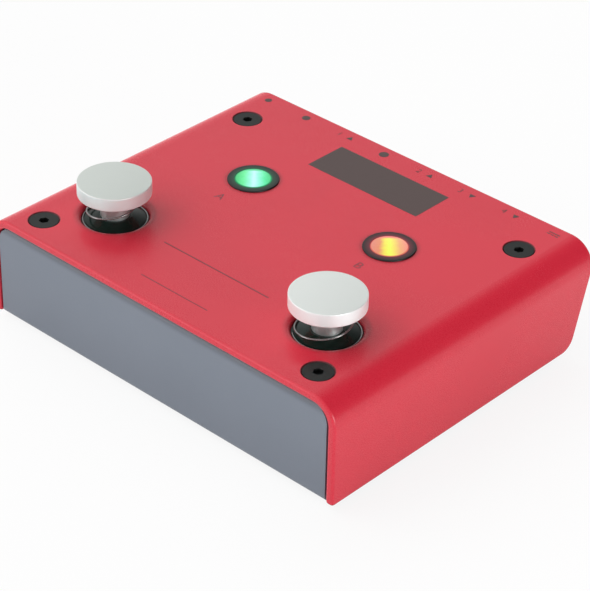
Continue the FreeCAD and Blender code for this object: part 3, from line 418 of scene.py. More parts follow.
@dataclass(frozen=True)
class BlastedMetal(Finish):
    """Metal with a fine even grain and faint dull patches, as blasting or etching leaves it."""

    colour: Colour
    rough: float
    grain: float = 0.12 * MM
    depth: float = 0.006 * MM
    darker: float = 0.92
    metallic: float = 1.0
    cloud: float = 6.0 * MM

    def surface(self, shading: Shading) -> dict[str, object]:
        """What goes into the shader.

        Args:
            shading: The material's tree.

        Returns:
            Its inputs by name.
        """
        grain = shading.noise(self.grain)
        cloud = shading.noise(self.cloud)
        body = shading.mix(grain * 0.7 + cloud * 0.3, self.colour, toned(self.colour, self.darker))
        return {
            "Base Color": self.tint(shading, body),
            "Metallic": self.metallic,
            "Roughness": self.rough + cloud.sway(0.08) + grain.sway(0.10),
            "Normal": shading.bump(grain, self.depth),
        }

    def tint(self, shading: Shading, body: Flow) -> Flow:
        """The metal's colour with any painted light on it, which plain metal lacks."""
        return body


@dataclass(frozen=True)
class CapMetal(BlastedMetal):
    """The caps' satin metal, with painted light: a paler, less red side and a painted highlight on the
    rounded rim.
    """

    # Painted light: side is a paler, less red tone standing in for what the cap's side reflects, and rim a
    # painted highlight.
    side: Colour = WHITE
    rim: Colour = WHITE
    rim_share: float = 0.7

    def tint(self, shading: Shading, body: Flow) -> Flow:
        """The metal's colour with its painted light.

        Args:
            shading: The material's tree.
            body: The colour of the flat top.

        Returns:
            The colour at each point, by how far up its face looks: 1 on the top and 0 on the side. The side's
            tone and the rim's white are painted light.
        """
        up = shading.parts(shading.add("ShaderNodeNewGeometry", output="Normal"))[2]
        # Painted light: the paler side, then the white highlight on the rounded rim.
        sided = shading.mix(up.step(0.90, 0.20), body, self.side)
        return shading.mix(up.step(0.20, 0.50) * up.step(0.98, 0.80) * self.rim_share, sided, self.rim)


@dataclass(frozen=True)
class TurnedMetal(Finish):
    """Metal from a lathe, with fine rings about the upright axes of a mirrored pair.

    Attributes:
        centre: How far each axis is to the side and to the rear.
        wander: The distance over which the rings wander.
    """

    colour: Colour
    rough: float
    centre: Spot
    pitch: float = 0.16 * MM
    depth: float = 0.003 * MM
    darker: float = 0.90
    grain: float = 0.15 * MM
    wander: float = 3.0 * MM

    def surface(self, shading: Shading) -> dict[str, object]:
        """What goes into the shader.

        Args:
            shading: The material's tree.

        Returns:
            Its inputs by name.
        """
        x, y, z = shading.parts(shading.place())
        radius = reach(abs(x) - self.centre[0], y - self.centre[1])
        wander = shading.noise(self.wander, 1.0) * 2.0
        rings = ((radius + z) * (math.tau / self.pitch) + wander).sine() * 0.5 + 0.5
        grain = shading.noise(self.grain)
        dull = toned(self.colour, self.darker)
        return {
            "Base Color": shading.mix(rings * 0.5 + grain * 0.3, self.colour, dull),
            "Metallic": 1.0,
            "Roughness": self.rough + rings * 0.06 + grain.sway(0.06),
            "Normal": shading.bump(rings + grain * 0.6, self.depth),
        }


@dataclass(frozen=True)
class Moulded(Finish):
    """Moulded plastic or rubber, or ink: a fine texture and a slightly uneven gloss."""

    colour: Colour
    rough: float
    grain: float = 0.3 * MM
    depth: float = 0.010 * MM
    lighter: float = 1.35
    shine: float = 0.5
    cloud: float = 9.0 * MM

    def surface(self, shading: Shading) -> dict[str, object]:
        """What goes into the shader.

        Args:
            shading: The material's tree.

        Returns:
            Its inputs by name.
        """
        grain = shading.noise(self.grain)
        cloud = shading.noise(self.cloud)
        pale = toned(self.colour, self.lighter)
        return {
            "Base Color": shading.mix(grain * 0.5 + cloud * 0.4 - 0.1, self.colour, pale),
            "Roughness": self.rough + cloud.sway(0.10) + grain.sway(0.08),
            "Normal": shading.bump(grain, self.depth),
            "Specular IOR Level": self.shine,
        }


@dataclass(frozen=True)
class LampColours:
    """The colours of one lamp.

    Attributes:
        across: The lens's colours by place, from its left edge, 0, to its right one, 1. Their bright middle
            is partly a painted highlight.
        rim: The rim of the lens.
        crescent: The crescent at the lens's rear.
        glow: The lamp's light, painted on as a glow at the bezel's inner edge.
        halo: The lamp's light, painted on as a fainter glow over the rest of the bezel.
    """

    across: dict[float, Colour]
    rim: Colour
    crescent: Colour
    glow: Colour
    halo: Colour


@dataclass(frozen=True)
class TintedRing(Finish):
    """Black metal round a lamp, with the lamp's light painted on as a glow at its inner edge and a fainter
    halo.
    """

    colours: LampColours
    centre: Spot
    inner: float
    outer: float
    metal: Colour = (0.007, 0.007, 0.007)
    lighter: float = 1.5
    edge: float = 0.45 * MM
    rough: float = 0.38
    grain: float = 0.15 * MM
    depth: float = 0.005 * MM

    def surface(self, shading: Shading) -> dict[str, object]:
        """What goes into the shader.

        Args:
            shading: The material's tree.

        Returns:
            Its inputs by name.
        """
        x, y, _ = shading.parts(shading.place())
        radius = reach(x - self.centre[0], y - self.centre[1])
        # Painted light: the lamp's colour glows on the bezel, fading outwards from its inner edge.
        halo = shading.mix(radius.step(self.outer, self.inner), BLACK, self.colours.halo)
        edge = radius.step(self.inner + self.edge, self.inner)
        grain = shading.noise(self.grain)
        return {
            "Base Color": shading.mix(grain, self.metal, toned(self.metal, self.lighter)),
            "Roughness": self.rough + grain.sway(0.12),
            "Normal": shading.bump(grain, self.depth),
            "Emission Color": shading.mix(edge, halo, self.colours.glow),
            "Emission Strength": 1.0,
        }


@dataclass(frozen=True)
class LitLens(Finish):
    """A lit lens that glows as the lamp: a bright band across it, partly a painted highlight, coloured sides
    and a darker rim.

    Attributes:
        band_angle: How far the band is turned from the front-to-rear line, in degrees, so that it stands
            upright in the camera's view.
        flare: How much narrower the band gets towards the rear.
        ripple: The size of the band's ripples.
        glow: How brightly the lens is lit.
        dim: How much of its colour it lacks when unlit.
    """

    colours: LampColours
    centre: Spot
    radius: float
    band_angle: float = 42.5
    flare: float = 0.12
    ripple: float = 1.6 * MM
    glow: float = 0.95
    dim: float = 0.9

    def surface(self, shading: Shading) -> dict[str, object]:
        """What goes into the shader.

        Args:
            shading: The material's tree.

        Returns:
            Its inputs by name.
        """
        x, y, _ = shading.parts(shading.place())
        turn = math.radians(self.band_angle)
        right, back = (x - self.centre[0]) / self.radius, (y - self.centre[1]) / self.radius
        aside = right * math.cos(turn) + back * math.sin(turn)
        along = back * math.cos(turn) - right * math.sin(turn)
        ripple = shading.noise(self.ripple).sway(0.10)
        across = aside * (1.0 + along * self.flare) * 0.5 + 0.5 + ripple
        # The band's bright middle is partly a painted highlight, upright in the camera's view.
        band = shading.add("ShaderNodeValToRGB", {"stops": self.colours.across}, {0: across})
        rimmed = shading.mix(reach(right, back).step(0.93, 1.0), band, self.colours.rim)
        lit = shading.mix(along.step(0.62, 0.90), rimmed, self.colours.crescent)
        return {
            "Base Color": shading.mix(self.dim, lit, BLACK),
            "Roughness": 0.22 + ripple,
            "Coat Weight": 0.3,
            "Coat Roughness": 0.08,
            "Emission Color": lit,
            "Emission Strength": self.glow,
        }


@dataclass(frozen=True)
class Laminate(Finish):
    """A lacquered circuit board: paler tracks under the lacquer, and bare board between them."""

    colour: Colour
    track: Colour
    cell: float = 7.62 * MM
    weave: float = 0.5 * MM
    relief: float = 0.02 * MM

    def surface(self, shading: Shading) -> dict[str, object]:
        """What goes into the shader.

        Args:
            shading: The material's tree.

        Returns:
            Its inputs by name.
        """
        cells = shading.add(
            "ShaderNodeTexVoronoi",
            {"distance": "CHEBYCHEV", "feature": "F1"},
            {"Vector": shading.place(), "Scale": 1.0 / self.cell},
            "Distance",
        )
        lines = (cells * (math.tau * 3)).sine().step(-0.2, 0.2)
        weave = shading.noise(self.weave)
        return {
            "Base Color": shading.mix(lines * 0.8 + weave * 0.2, self.colour, self.track),
            "Roughness": 0.30 + weave * 0.12,
            "Normal": shading.bump(lines + weave * 0.2, self.relief),
        }


# Meshes

# Points that are closer together than this become one.
WELD = 1e-7
# How far a character's outline moves, as a share of its size, because printed strokes are thin.
THINNING = -0.014


def new_piece(name: str, mesh: bpy.types.Mesh, finish: bpy.types.Material) -> bpy.types.Object:
    """Puts a mesh in the scene as a piece of the object that doesn't move on its own.

    Args:
        name: The piece's name.
        mesh: Its mesh, in the model's frame.
        finish: Its material.

    Returns:
        The new object.
    """
    piece = bpy.data.objects.new(name, mesh)
    bpy.context.scene.collection.objects.link(piece)
    mesh.materials.append(finish)
    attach(piece, ROOT)
    return piece


def finished(work: bmesh.types.BMesh, name: str) -> bpy.types.Mesh:
    """Ends the work on a bmesh.

    Args:
        work: The bmesh, which is freed.
        name: The new mesh's name.

    Returns:
        The mesh.
    """
    mesh = bpy.data.meshes.new(name)
    work.to_mesh(mesh)
    work.free()
    return mesh


def settle(mesh: bpy.types.Mesh, crease: float = 35.0) -> bpy.types.Mesh:
    """Points a mesh's faces outwards and shades it smooth up to a crease.

    Args:
        mesh: The mesh.
        crease: The angle in degrees over which an edge stays sharp.

    Returns:
        The same mesh.
    """
    work = bmesh.new()
    work.from_mesh(mesh)
    bmesh.ops.remove_doubles(work, verts=work.verts, dist=WELD)
    bmesh.ops.recalc_face_normals(work, faces=work.faces)
    limit = math.radians(crease)
    for face in work.faces:
        face.smooth = True
    for edge in work.edges:
        edge.smooth = len(edge.link_faces) == 2 and edge.calc_face_angle(0.0) < limit
    work.to_mesh(mesh)
    work.free()
    return mesh


def ring_mesh(
    name: str, centre: Vector, start: float, section: Callable[[float], list[Spot]], sides: int
) -> bpy.types.Mesh:
    """A closed ring about an axis that runs to the rear, such as a nut.

    Args:
        name: The mesh's name.
        centre: A point on the axis.
        start: Where the ring starts along the axis.
        section: Gives the ring's section at an angle: each corner's radius, and its way from the start.
        sides: How many steps there are round the ring.

    Returns:
        The mesh.
    """
    angles = [math.tau * side / sides for side in range(sides)]
    sections = [section(angle) for angle in angles]
    rows = len(sections[0])
    points = []
    faces = []
    for row in range(rows):
        here, next_row = row * sides, (row + 1) % rows * sides
        for side, angle in enumerate(angles):
            radius, along = sections[side][row]
            spot = (centre.x + math.cos(angle) * radius, start + along, centre.z + math.sin(angle) * radius)
            points.append(spot)
            beside = (side + 1) % sides
            faces.append((here + side, here + beside, next_row + beside, next_row + side))
    mesh = bpy.data.meshes.new(name)
    mesh.from_pydata(points, [], faces)
    return settle(mesh)


def prism_mesh(name: str, outlines: Sequence[Sequence[Spot]], low: float, high: float) -> bpy.types.Mesh:
    """Flat shapes of a given thickness, lying level.

    Args:
        name: The mesh's name.
        outlines: The corners of each shape, counter-clockwise.
        low: The height of the underside.
        high: The height of the upper side.

    Returns:
        The mesh.
    """
    work = bmesh.new()
    for outline in outlines:
        bottom = [work.verts.new((x, y, low)) for x, y in outline]
        top = [work.verts.new((x, y, high)) for x, y in outline]
        work.faces.new(top)
        work.faces.new(bottom[::-1])
        for here in range(len(outline)):
            there = (here + 1) % len(outline)
            work.faces.new((bottom[here], bottom[there], top[there], top[here]))
    return finished(work, name)


def joined(name: str, meshes: Sequence[bpy.types.Mesh]) -> bpy.types.Mesh:
    """Several meshes as one.

    Args:
        name: The new mesh's name.
        meshes: The meshes.

    Returns:
        The new mesh.
    """
    work = bmesh.new()
    for mesh in meshes:
        work.from_mesh(mesh)
    return finished(work, name)


def letter_mesh(text: str, size: float, centre: Spot, low: float, high: float) -> bpy.types.Mesh:
    """A character as a thin flat solid.

    Args:
        text: The character.
        size: The height of the type.
        centre: The middle of the character.
        low: The height of the underside.
        high: The height of the upper side.

    Returns:
        The mesh.
    """
    curve = bpy.data.curves.new("letter", "FONT")
    curve.body = text
    curve.size = size
    curve.align_x = "CENTER"
    curve.align_y = "CENTER"
    curve.extrude = (high - low) / 2
    curve.resolution_u = 6
    curve.offset = THINNING * size
    holder = bpy.data.objects.new("letter", curve)
    mesh = bpy.data.meshes.new_from_object(holder)
    mesh.transform(Matrix.Translation((*centre, (low + high) / 2)))
    bpy.data.objects.remove(holder)
    bpy.data.curves.remove(curve)
    work = bmesh.new()
    work.from_mesh(mesh)
    bmesh.ops.remove_doubles(work, verts=work.verts, dist=WELD)
    return finished(work, "letter")


def middle(node: str) -> Vector:
    """The middle of a node's box."""
    low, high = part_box(node)
    return (low + high) / 2


def dress(finish: bpy.types.Material, *nodes: str) -> None:
    """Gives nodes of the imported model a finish, in every one of their material slots.

    Args:
        finish: The material.
        *nodes: The nodes' names.
    """
    for name in nodes:
        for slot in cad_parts[name].material_slots:
            slot.material = finish


# The sub-assemblies


@dataclass
class Casing:
    """The folded cover and tray, with their screws and feet.

    Attributes:
        hole_radii: The radius of the cover's hole round each node through its right half, where its painted
            shade ring starts.
    """

    red: CoverEnamel = CoverEnamel(
        "red_enamel", (0.705, 0.026, 0.053), (0.675, 0.023, 0.048), (0.020, 0.016, 0.017), 0.27, 0.47
    )
    grey: TrayEnamel = TrayEnamel(
        "grey_enamel", (0.196, 0.223, 0.272), (0.184, 0.211, 0.258), (0.050, 0.048, 0.058), 0.40
    )
    screw: BlastedMetal = BlastedMetal("black_oxide", (0.062, 0.068, 0.066), 0.45, 0.10 * MM)
    rubber: Moulded = Moulded("foot_rubber", (0.018, 0.018, 0.019), 0.75, 0.4 * MM, 0.03 * MM)
    zinc: BlastedMetal = BlastedMetal("zinc_plate", (0.66, 0.67, 0.69), 0.32, 0.4 * MM)
    hole_radii: dict[str, float] = field(
        default_factory=lambda: {"footswitch_guide_b": 10.3 * MM, "lamp_bezel_b": 7.25 * MM}
    )

    def build(self) -> None:
        """Dresses the folded sheets and what holds them."""
        # The holes set where the cover's rings of painted shade lie.
        holes = tuple((middle(node).x, middle(node).y, radius) for node, radius in self.hole_radii.items())
        red = replace(self.red, foot=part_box("top_cover")[0].z, holes=holes)
        dress(red.make(), "top_cover")
        dress(self.grey.make(), "chassis_tray")
        dress(self.screw.make(), "cover_screws")
        dress(self.zinc.make(), "press_nuts", "guide_nuts", "lamp_nuts", "board_spacers", "board_screws")
        ends = [f"rubber_foot_{end}_{side}" for end in ("front", "rear") for side in ("left", "right")]
        dress(self.rubber.make(), *ends)


@dataclass
class FootSwitches:
    """The two foot switches: caps, shafts, clips, guides and conical return springs.

    Attributes:
        end_turn: How many turns lie flat at each end.
        climb_turns: How many turns climb between them.
        starts: The angle in degrees at which each spring's climb starts.
    """

    wire: float = 0.25 * MM
    foot_radius: float = 8.8 * MM
    top_radius: float = 4.95 * MM
    end_turn: float = 0.84
    climb_turns: float = 1.1
    starts: dict[Side, float] = field(default_factory=lambda: {Side.A: 109.0, Side.B: 170.0})
    travel: float = 4.0 * MM
    steps_per_turn: int = 72
    wire_sides: int = 12
    wire_crease: float = 50.0
    cap: CapMetal = CapMetal("satin_aluminium", WHITE, 0.44, 0.10 * MM, 0.004 * MM, metallic=0.45)
    clip: BlastedMetal = BlastedMetal("spring_steel_sheet", (0.35, 0.35, 0.36), 0.35)
    guide: Moulded = Moulded("gloss_black", (0.005, 0.016, 0.012), 0.16, 0.5 * MM, 0.002 * MM, shine=0.32)
    bright: BlastedMetal = BlastedMetal("bright_wire", (0.36, 0.37, 0.37), 0.26, 0.2 * MM, 0.002 * MM)

    def build(self) -> None:
        """Dresses the switches and winds their springs."""
        # Cap A's colour is darker than cap B's: painted shade for the weaker light on the left. Each side
        # colour is painted light on the cap's side.
        cap_shading = {
            Side.A: {"colour": (0.73, 0.78, 0.74), "darker": 0.94, "side": (0.76, 0.93, 0.92)},
            Side.B: {"colour": (0.86, 0.90, 0.87), "darker": 0.97, "side": (0.94, 0.99, 0.99)},
        }
        axis = middle("footswitch_cap_b")
        shaft = TurnedMetal("turned_steel", (0.84, 0.93, 0.92), 0.44, (axis.x, axis.y)).make()
        clip, guide, bright = self.clip.make(), self.guide.make(), self.bright.make()
        for side in Side:
            cap = replace(self.cap, name=f"{self.cap.name}_{side.letter}", **cap_shading[side])
            dress(cap.make(), f"footswitch_cap_{side.letter}")
            dress(shaft, f"footswitch_shaft_{side.letter}")
            dress(clip, f"shaft_clip_{side.letter}")
            dress(guide, f"footswitch_guide_{side.letter}")
            self.wind(side, bright)

    def middle_line(self, side: Side) -> list[Vector]:
        """The line that a spring's wire follows.

        Args:
            side: Which switch.

        Returns:
            Points from the foot's end to the top's end.
        """
        low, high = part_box(f"return_spring_{side.letter}")
        centre = middle(f"footswitch_shaft_{side.letter}")
        foot, top = low.z + self.wire, high.z - self.wire
        turns = self.climb_turns + self.end_turn * 2
        count = round(turns * self.steps_per_turn)
        line = []
        for step in range(count + 1):
            turn = turns * step / count - self.end_turn
            share = min(max(turn / self.climb_turns, 0.0), 1.0)
            radius = self.foot_radius + (self.top_radius - self.foot_radius) * share
            angle = math.radians(self.starts[side]) + math.tau * turn
            offset = Vector((math.cos(angle) * radius, math.sin(angle) * radius, 0.0))
            line.append(Vector((centre.x, centre.y, foot + (top - foot) * share)) + offset)
        return line

    def wire_mesh(self, name: str, line: Sequence[Vector]) -> bpy.types.Mesh:
        """A round wire along a line.

        Args:
            name: The mesh's name.
            line: The points of the line.

        Returns:
            The mesh.
        """
        steps = [math.tau * n / self.wire_sides for n in range(self.wire_sides)]
        work = bmesh.new()
        rings = []
        for here, point in enumerate(line):
            way = (line[min(here + 1, len(line) - 1)] - line[max(here - 1, 0)]).normalized()
            aside = way.cross(UP).normalized()
            up = aside.cross(way)
            spokes = [(aside * math.cos(step) + up * math.sin(step)) * self.wire for step in steps]
            rings.append([work.verts.new(point + spoke) for spoke in spokes])
        for first, second in zip(rings, rings[1:]):
            for n in range(self.wire_sides):
                after = (n + 1) % self.wire_sides
                work.faces.new((first[n], first[after], second[after], second[n]))
        work.faces.new(rings[0][::-1])
        work.faces.new(rings[-1])
        return settle(finished(work, name), self.wire_crease)

    def wind(self, side: Side, finish: bpy.types.Material) -> None:
        """Makes one return spring as a round wire.

        Args:
            side: Which switch.
            finish: The wire's material.
        """
        name = f"return_spring_wire_{side.letter}"
        piece = new_piece(name, self.wire_mesh(name, self.middle_line(side)), finish)
        node = f"return_spring_{side.letter}"
        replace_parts(piece, node)
        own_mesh(piece)


@dataclass
class Lamps:
    """The two lamps: bezels, lit lenses and their leads."""

    lens_radius: float = 5.0 * MM
    leads: BlastedMetal = BlastedMetal("tinned_wire", (0.70, 0.70, 0.71), 0.35)
    green: LampColours = LampColours(
        across={
            0.06: (0.045, 0.620, 0.190),
            0.24: (0.125, 0.870, 0.330),
            0.40: (0.300, 0.950, 0.700),
            0.52: (0.560, 0.930, 1.000),
            0.64: (0.300, 0.950, 0.740),
            0.80: (0.110, 0.860, 0.400),
            0.96: (0.050, 0.640, 0.220),
        },
        rim=(0.020, 0.330, 0.120),
        crescent=(0.060, 0.640, 0.240),
        glow=(0.020, 0.200, 0.090),
        halo=(0.008, 0.060, 0.030),
    )
    yellow: LampColours = LampColours(
        across={
            0.06: (0.760, 0.240, 0.170),
            0.24: (0.780, 0.260, 0.130),
            0.38: (0.900, 0.800, 0.090),
            0.50: (0.860, 0.980, 0.100),
            0.62: (0.920, 0.740, 0.130),
            0.78: (0.870, 0.430, 0.190),
            0.96: (0.900, 0.300, 0.220),
        },
        rim=(0.700, 0.160, 0.110),
        crescent=(0.860, 0.180, 0.170),
        glow=(0.360, 0.040, 0.050),
        halo=(0.120, 0.010, 0.022),
    )

    def build(self) -> None:
        """Dresses the lamps."""
        leads = self.leads.make()
        for side, colours in ((Side.A, self.green), (Side.B, self.yellow)):
            lens, bezel = f"lamp_led_{side.letter}", f"lamp_bezel_{side.letter}"
            low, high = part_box(bezel)
            spot = (middle(lens).x, middle(lens).y)
            outer = (high.x - low.x) / 2
            ring = TintedRing(f"bezel_{side.letter}", colours, spot, self.lens_radius, outer)
            dress(LitLens(f"lit_lens_{side.letter}", colours, spot, self.lens_radius).make(), lens)
            dress(ring.make(), bezel)
            dress(leads, f"lamp_leads_{side.letter}")


@dataclass
class Electronics:
    """The board and what stands on it, closed in by the casing."""

    board: Laminate = Laminate("green_board", (0.012, 0.110, 0.045), (0.030, 0.230, 0.090))
    relay: Moulded = Moulded("pale_relay", (0.72, 0.71, 0.66), 0.45)
    tape: Moulded = Moulded("winding_tape", (0.62, 0.46, 0.06), 0.28, 1.2 * MM, 0.03 * MM)
    chip: Moulded = Moulded("chip_resin", (0.020, 0.020, 0.021), 0.55)
    can: BlastedMetal = BlastedMetal("drawn_can", (0.72, 0.72, 0.74), 0.28)
    housing: Moulded = Moulded("black_housing", (0.022, 0.022, 0.024), 0.50)
    plunger: Moulded = Moulded("white_plunger", (0.78, 0.78, 0.76), 0.45, lighter=1.05)
    push_switches: tuple[int, ...] = (1, 2, 3)

    def build(self) -> None:
        """Dresses the board and its components."""
        dress(self.board.make(), "main_board")
        dress(self.relay.make(), "signal_relay_a", "signal_relay_b")
        dress(self.tape.make(), "isolation_transformer")
        dress(self.chip.make(), "microcontroller")
        dress(self.can.make(), "filter_capacitor")
        dress(self.plunger.make(), *(f"switch_plunger_{side.letter}" for side in Side))
        modules = [f"switch_module_{side.letter}" for side in Side]
        dress(self.housing.make(), *modules, *(f"push_switch_body_{n}" for n in self.push_switches))


@dataclass
class RearRow:
    """The sockets and push-buttons of the rear panel, with real threads and chamfered nuts.

    Attributes:
        nut_face: The radius of a nut's flat face, as a share of half the size across its flats.
        nut_chamfer: The slope of its corners, in degrees.
    """

    jacks: tuple[int, ...] = (1, 2, 3, 4)
    buttons: tuple[int, ...] = (1, 2, 3)
    bore: float = 3.25 * MM
    mouth: float = 0.4 * MM
    thread_pitch: float = 0.75 * MM
    thread_depth: float = 0.30 * MM
    rows_per_pitch: int = 8
    sides: int = 96
    nut_flats: float = 13.94 * MM
    nut_face: float = 0.985
    nut_chamfer: float = 30.0
    nut_bore: float = 6.05 * MM
    nut_entry: float = 0.35 * MM
    nut_crease: float = 25.0
    plastic: Moulded = Moulded("socket_plastic", (0.020, 0.020, 0.021), 0.42, 0.35 * MM)
    bronze: BlastedMetal = BlastedMetal("sprung_bronze", (0.72, 0.50, 0.26), 0.25)
    button: Moulded = Moulded("button_plastic", (0.028, 0.028, 0.030), 0.36, 0.25 * MM)
    nickel: BlastedMetal = BlastedMetal("nickel_plate", (0.70, 0.68, 0.64), 0.20, 0.3 * MM, 0.002 * MM)

    def build(self) -> None:
        """Dresses the row, and replaces the bushings with threaded ones and the nuts with chamfered ones."""
        dress(self.plastic.make(), "dc_socket_body", *(f"jack_body_{n}" for n in self.jacks))
        dress(self.bronze.make(), *(f"jack_contact_{n}" for n in self.jacks))
        dress(self.button.make(), *(f"push_button_{n}" for n in self.buttons))
        nickel = self.nickel.make()
        dress(nickel, "jack_washers", "dc_socket_pin")
        for number in self.jacks:
            self.thread(number, nickel)
        self.nuts(nickel)

    def thread_section(self, angle: float, crest: float, length: float) -> list[Spot]:
        """The section of a threaded bushing.

        Args:
            angle: Where it is cut.
            crest: The radius of the thread's crest.
            length: The bushing's length.

        Returns:
            Each corner's radius, and its way from the inner end.
        """
        rows = round(length / self.thread_pitch * self.rows_per_pitch)
        section = []
        for row in range(rows + 1):
            along = length * row / rows
            phase = (along / self.thread_pitch - angle / math.tau) % 1.0
            tooth = abs(phase * 2 - 1)
            entry = max(0.0, 1.0 - (length - along) / self.thread_pitch)
            section.append((crest - self.thread_depth * max(1 - tooth, entry), along))
        section += [(self.bore + self.mouth, length), (self.bore, length - self.mouth), (self.bore, 0.0)]
        return section

    def nut_section(self, angle: float, height: float) -> list[Spot]:
        """The section of a hexagon nut.

        Args:
            angle: Where it is cut.
            height: The nut's height.

        Returns:
            Each corner's radius, and its way from the panel.
        """
        flat = self.nut_flats / 2
        bend = (angle + math.pi / 6) % (math.pi / 3) - math.pi / 6
        outside = flat / math.cos(bend)
        drop = (outside - flat) * math.tan(math.radians(self.nut_chamfer))
        return [
            (self.nut_bore, 0.0),
            (flat * self.nut_face, 0.0),
            (outside, drop),
            (outside, height - drop),
            (flat * self.nut_face, height),
            (self.nut_bore + self.nut_entry, height),
            (self.nut_bore, height - self.nut_entry),
        ]

    def thread(self, number: int, finish: bpy.types.Material) -> None:
        """Replaces a bushing with one that has a cut thread.

        Args:
            number: Which socket.
            finish: The bushing's material.
        """
        node, name = f"jack_bushing_{number}", f"jack_collar_{number}"
        low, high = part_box(node)
        crest, length = (high.x - low.x) / 2, high.y - low.y
        mesh = ring_mesh(
            name, middle(node), low.y, lambda angle: self.thread_section(angle, crest, length), self.sides
        )
        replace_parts(new_piece(name, mesh, finish), node)

    def nuts(self, finish: bpy.types.Material) -> None:
        """Replaces the four nuts with chamfered ones.

        Args:
            finish: The nuts' material.
        """
        low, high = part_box("jack_nuts")
        height = high.y - low.y
        centres = [middle(f"jack_bushing_{number}") for number in self.jacks]
        meshes = [
            ring_mesh("nut", centre, low.y, lambda angle: self.nut_section(angle, height), self.sides)
            for centre in centres
        ]
        mesh = settle(joined("jack_hex_nuts", meshes), self.nut_crease)
        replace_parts(new_piece("jack_hex_nuts", mesh, finish), "jack_nuts")


@dataclass
class Printing:
    """The dark marks printed on the cover: plain shapes, two channel letters and socket numbers.

    Attributes:
        sunk: How far the marks reach into the cover.
        badge: The plain panel, as each oblong here: its middle, its width and its depth.
        mark_row: How far to the rear the marks of the rear row lie.
        dots: The radius of the dot at each push-button, by its place, both in millimetres.
        arrows: Whether the triangle at each socket points to the rear, by its place in millimetres.
        number_gap: How far to the left of its triangle each socket's number is.
        power: The place of the power socket's mark: a line over three dashes.
    """

    thick: float = 0.03 * MM
    sunk: float = 0.05 * MM
    badge: Oblong = (0.0, 35.225 * MM, 39.6 * MM, 13.95 * MM)
    rules: tuple[Oblong, ...] = (
        (0.0, -28.45 * MM, 38.0 * MM, 0.30 * MM),
        (0.0, -43.55 * MM, 24.0 * MM, 0.22 * MM),
    )
    letters: dict[str, Spot] = field(
        default_factory=lambda: {"A": (-25.0 * MM, -1.55 * MM), "B": (25.2 * MM, -0.95 * MM)}
    )
    letter_size: float = 4.2 * MM
    mark_row: float = 47.3 * MM
    dots: dict[float, float] = field(default_factory=lambda: {-53.4: 1.05, -38.3: 1.25, -8.4: 1.45})
    arrows: dict[float, bool] = field(
        default_factory=lambda: {-21.2: True, 8.6: True, 23.7: False, 39.0: False}
    )
    arrow_size: float = 1.15 * MM
    number_size: float = 2.9 * MM
    number_gap: float = 4.0 * MM
    power: float = 52.0 * MM
    power_line: float = 3.6 * MM
    power_dash: float = 1.0 * MM
    power_pitch: float = 1.3 * MM
    power_rise: float = 0.45 * MM
    power_thick: float = 0.32 * MM
    ink: Moulded = Moulded("printing_ink", (0.080, 0.050, 0.047), 0.52, 0.12 * MM, 0.002 * MM)
    thin_ink: Moulded = Moulded("thin_printing_ink", (0.135, 0.036, 0.042), 0.45, 0.12 * MM, 0.002 * MM)

    @property
    def heights(self) -> tuple[float, float]:
        """The heights of the marks' undersides and upper sides."""
        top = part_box("top_cover")[1].z
        return top - self.sunk, top + self.thick

    def build(self) -> None:
        """Prints every mark."""
        ink, thin = self.ink.make(), self.thin_ink.make()
        badge = prism_mesh("badge_panel", [self.oblong(*self.badge)], *self.heights)
        rules = prism_mesh("rule_lines", [self.oblong(*rule) for rule in self.rules], *self.heights)
        for name, mesh, finish in (
            ("badge_panel", badge, ink),
            ("channel_letters", self.letters_mesh(), thin),
            ("socket_marks", self.marks_mesh(), ink),
            ("rule_lines", rules, thin),
        ):
            new_piece(name, mesh, finish)

    def oblong(self, x: float, y: float, width: float, depth: float) -> list[Spot]:
        """The corners of a rectangle about a point."""
        return [(x + width / 2 * a, y + depth / 2 * b) for a, b in ((-1, -1), (1, -1), (1, 1), (-1, 1))]

    def disc(self, x: float, y: float, radius: float, corners: int = 32, turn: float = 0.0) -> list[Spot]:
        """The corners of a disc, or of a plain shape with few corners that is turned by an angle."""
        steps = [turn + math.tau * n / corners for n in range(corners)]
        return [(x + radius * math.cos(step), y + radius * math.sin(step)) for step in steps]

    def letters_mesh(self) -> bpy.types.Mesh:
        """The letters of the two channels.

        Returns:
            The mesh.
        """
        spots = self.letters.items()
        meshes = [letter_mesh(text, self.letter_size, spot, *self.heights) for text, spot in spots]
        return joined("channel_letters", meshes)

    def marks_mesh(self) -> bpy.types.Mesh:
        """The marks of the rear row: dots at the buttons, and triangles and numbers at the sockets.

        Returns:
            The mesh.
        """
        y, rise, thick = self.mark_row, self.power_rise, self.power_thick
        turns = {True: math.pi / 2, False: -math.pi / 2}
        shapes = [self.disc(x * MM, y, radius * MM) for x, radius in self.dots.items()]
        shapes += [self.disc(x * MM, y, self.arrow_size, 3, turns[up]) for x, up in self.arrows.items()]
        shapes.append(self.oblong(self.power, y + rise, self.power_line, thick))
        dashes = [self.power + n * self.power_pitch for n in (-1, 0, 1)]
        shapes += [self.oblong(x, y - rise, self.power_dash, thick) for x in dashes]
        meshes = [prism_mesh("shapes", shapes, *self.heights)]
        for number, x in enumerate(self.arrows, 1):
            spot = (x * MM - self.number_gap, y)
            meshes.append(letter_mesh(str(number), self.number_size, spot, *self.heights))
        return joined("socket_marks", meshes)


# The studio


@dataclass(frozen=True)
class SoftLight:
    """A bright patch of the surroundings, soft at its edge.

    Attributes:
        azimuth: Its direction, in degrees from +X towards +Y.
        elevation: Its height above the horizon, in degrees.
        inner: The angle from its middle at which it starts to fade, in degrees.
        outer: The angle at which it ends.
        power: How bright it is. Below 0, the patch is darker than what is round it.
    """

    azimuth: float
    elevation: float
    inner: float
    outer: float
    power: float

    @property
    def way(self) -> Vector:
        """The direction of its middle."""
        turn, tilt = math.radians(self.azimuth), math.radians(self.elevation)
        return Vector((math.cos(turn) * math.cos(tilt), math.sin(turn) * math.cos(tilt), math.sin(tilt)))


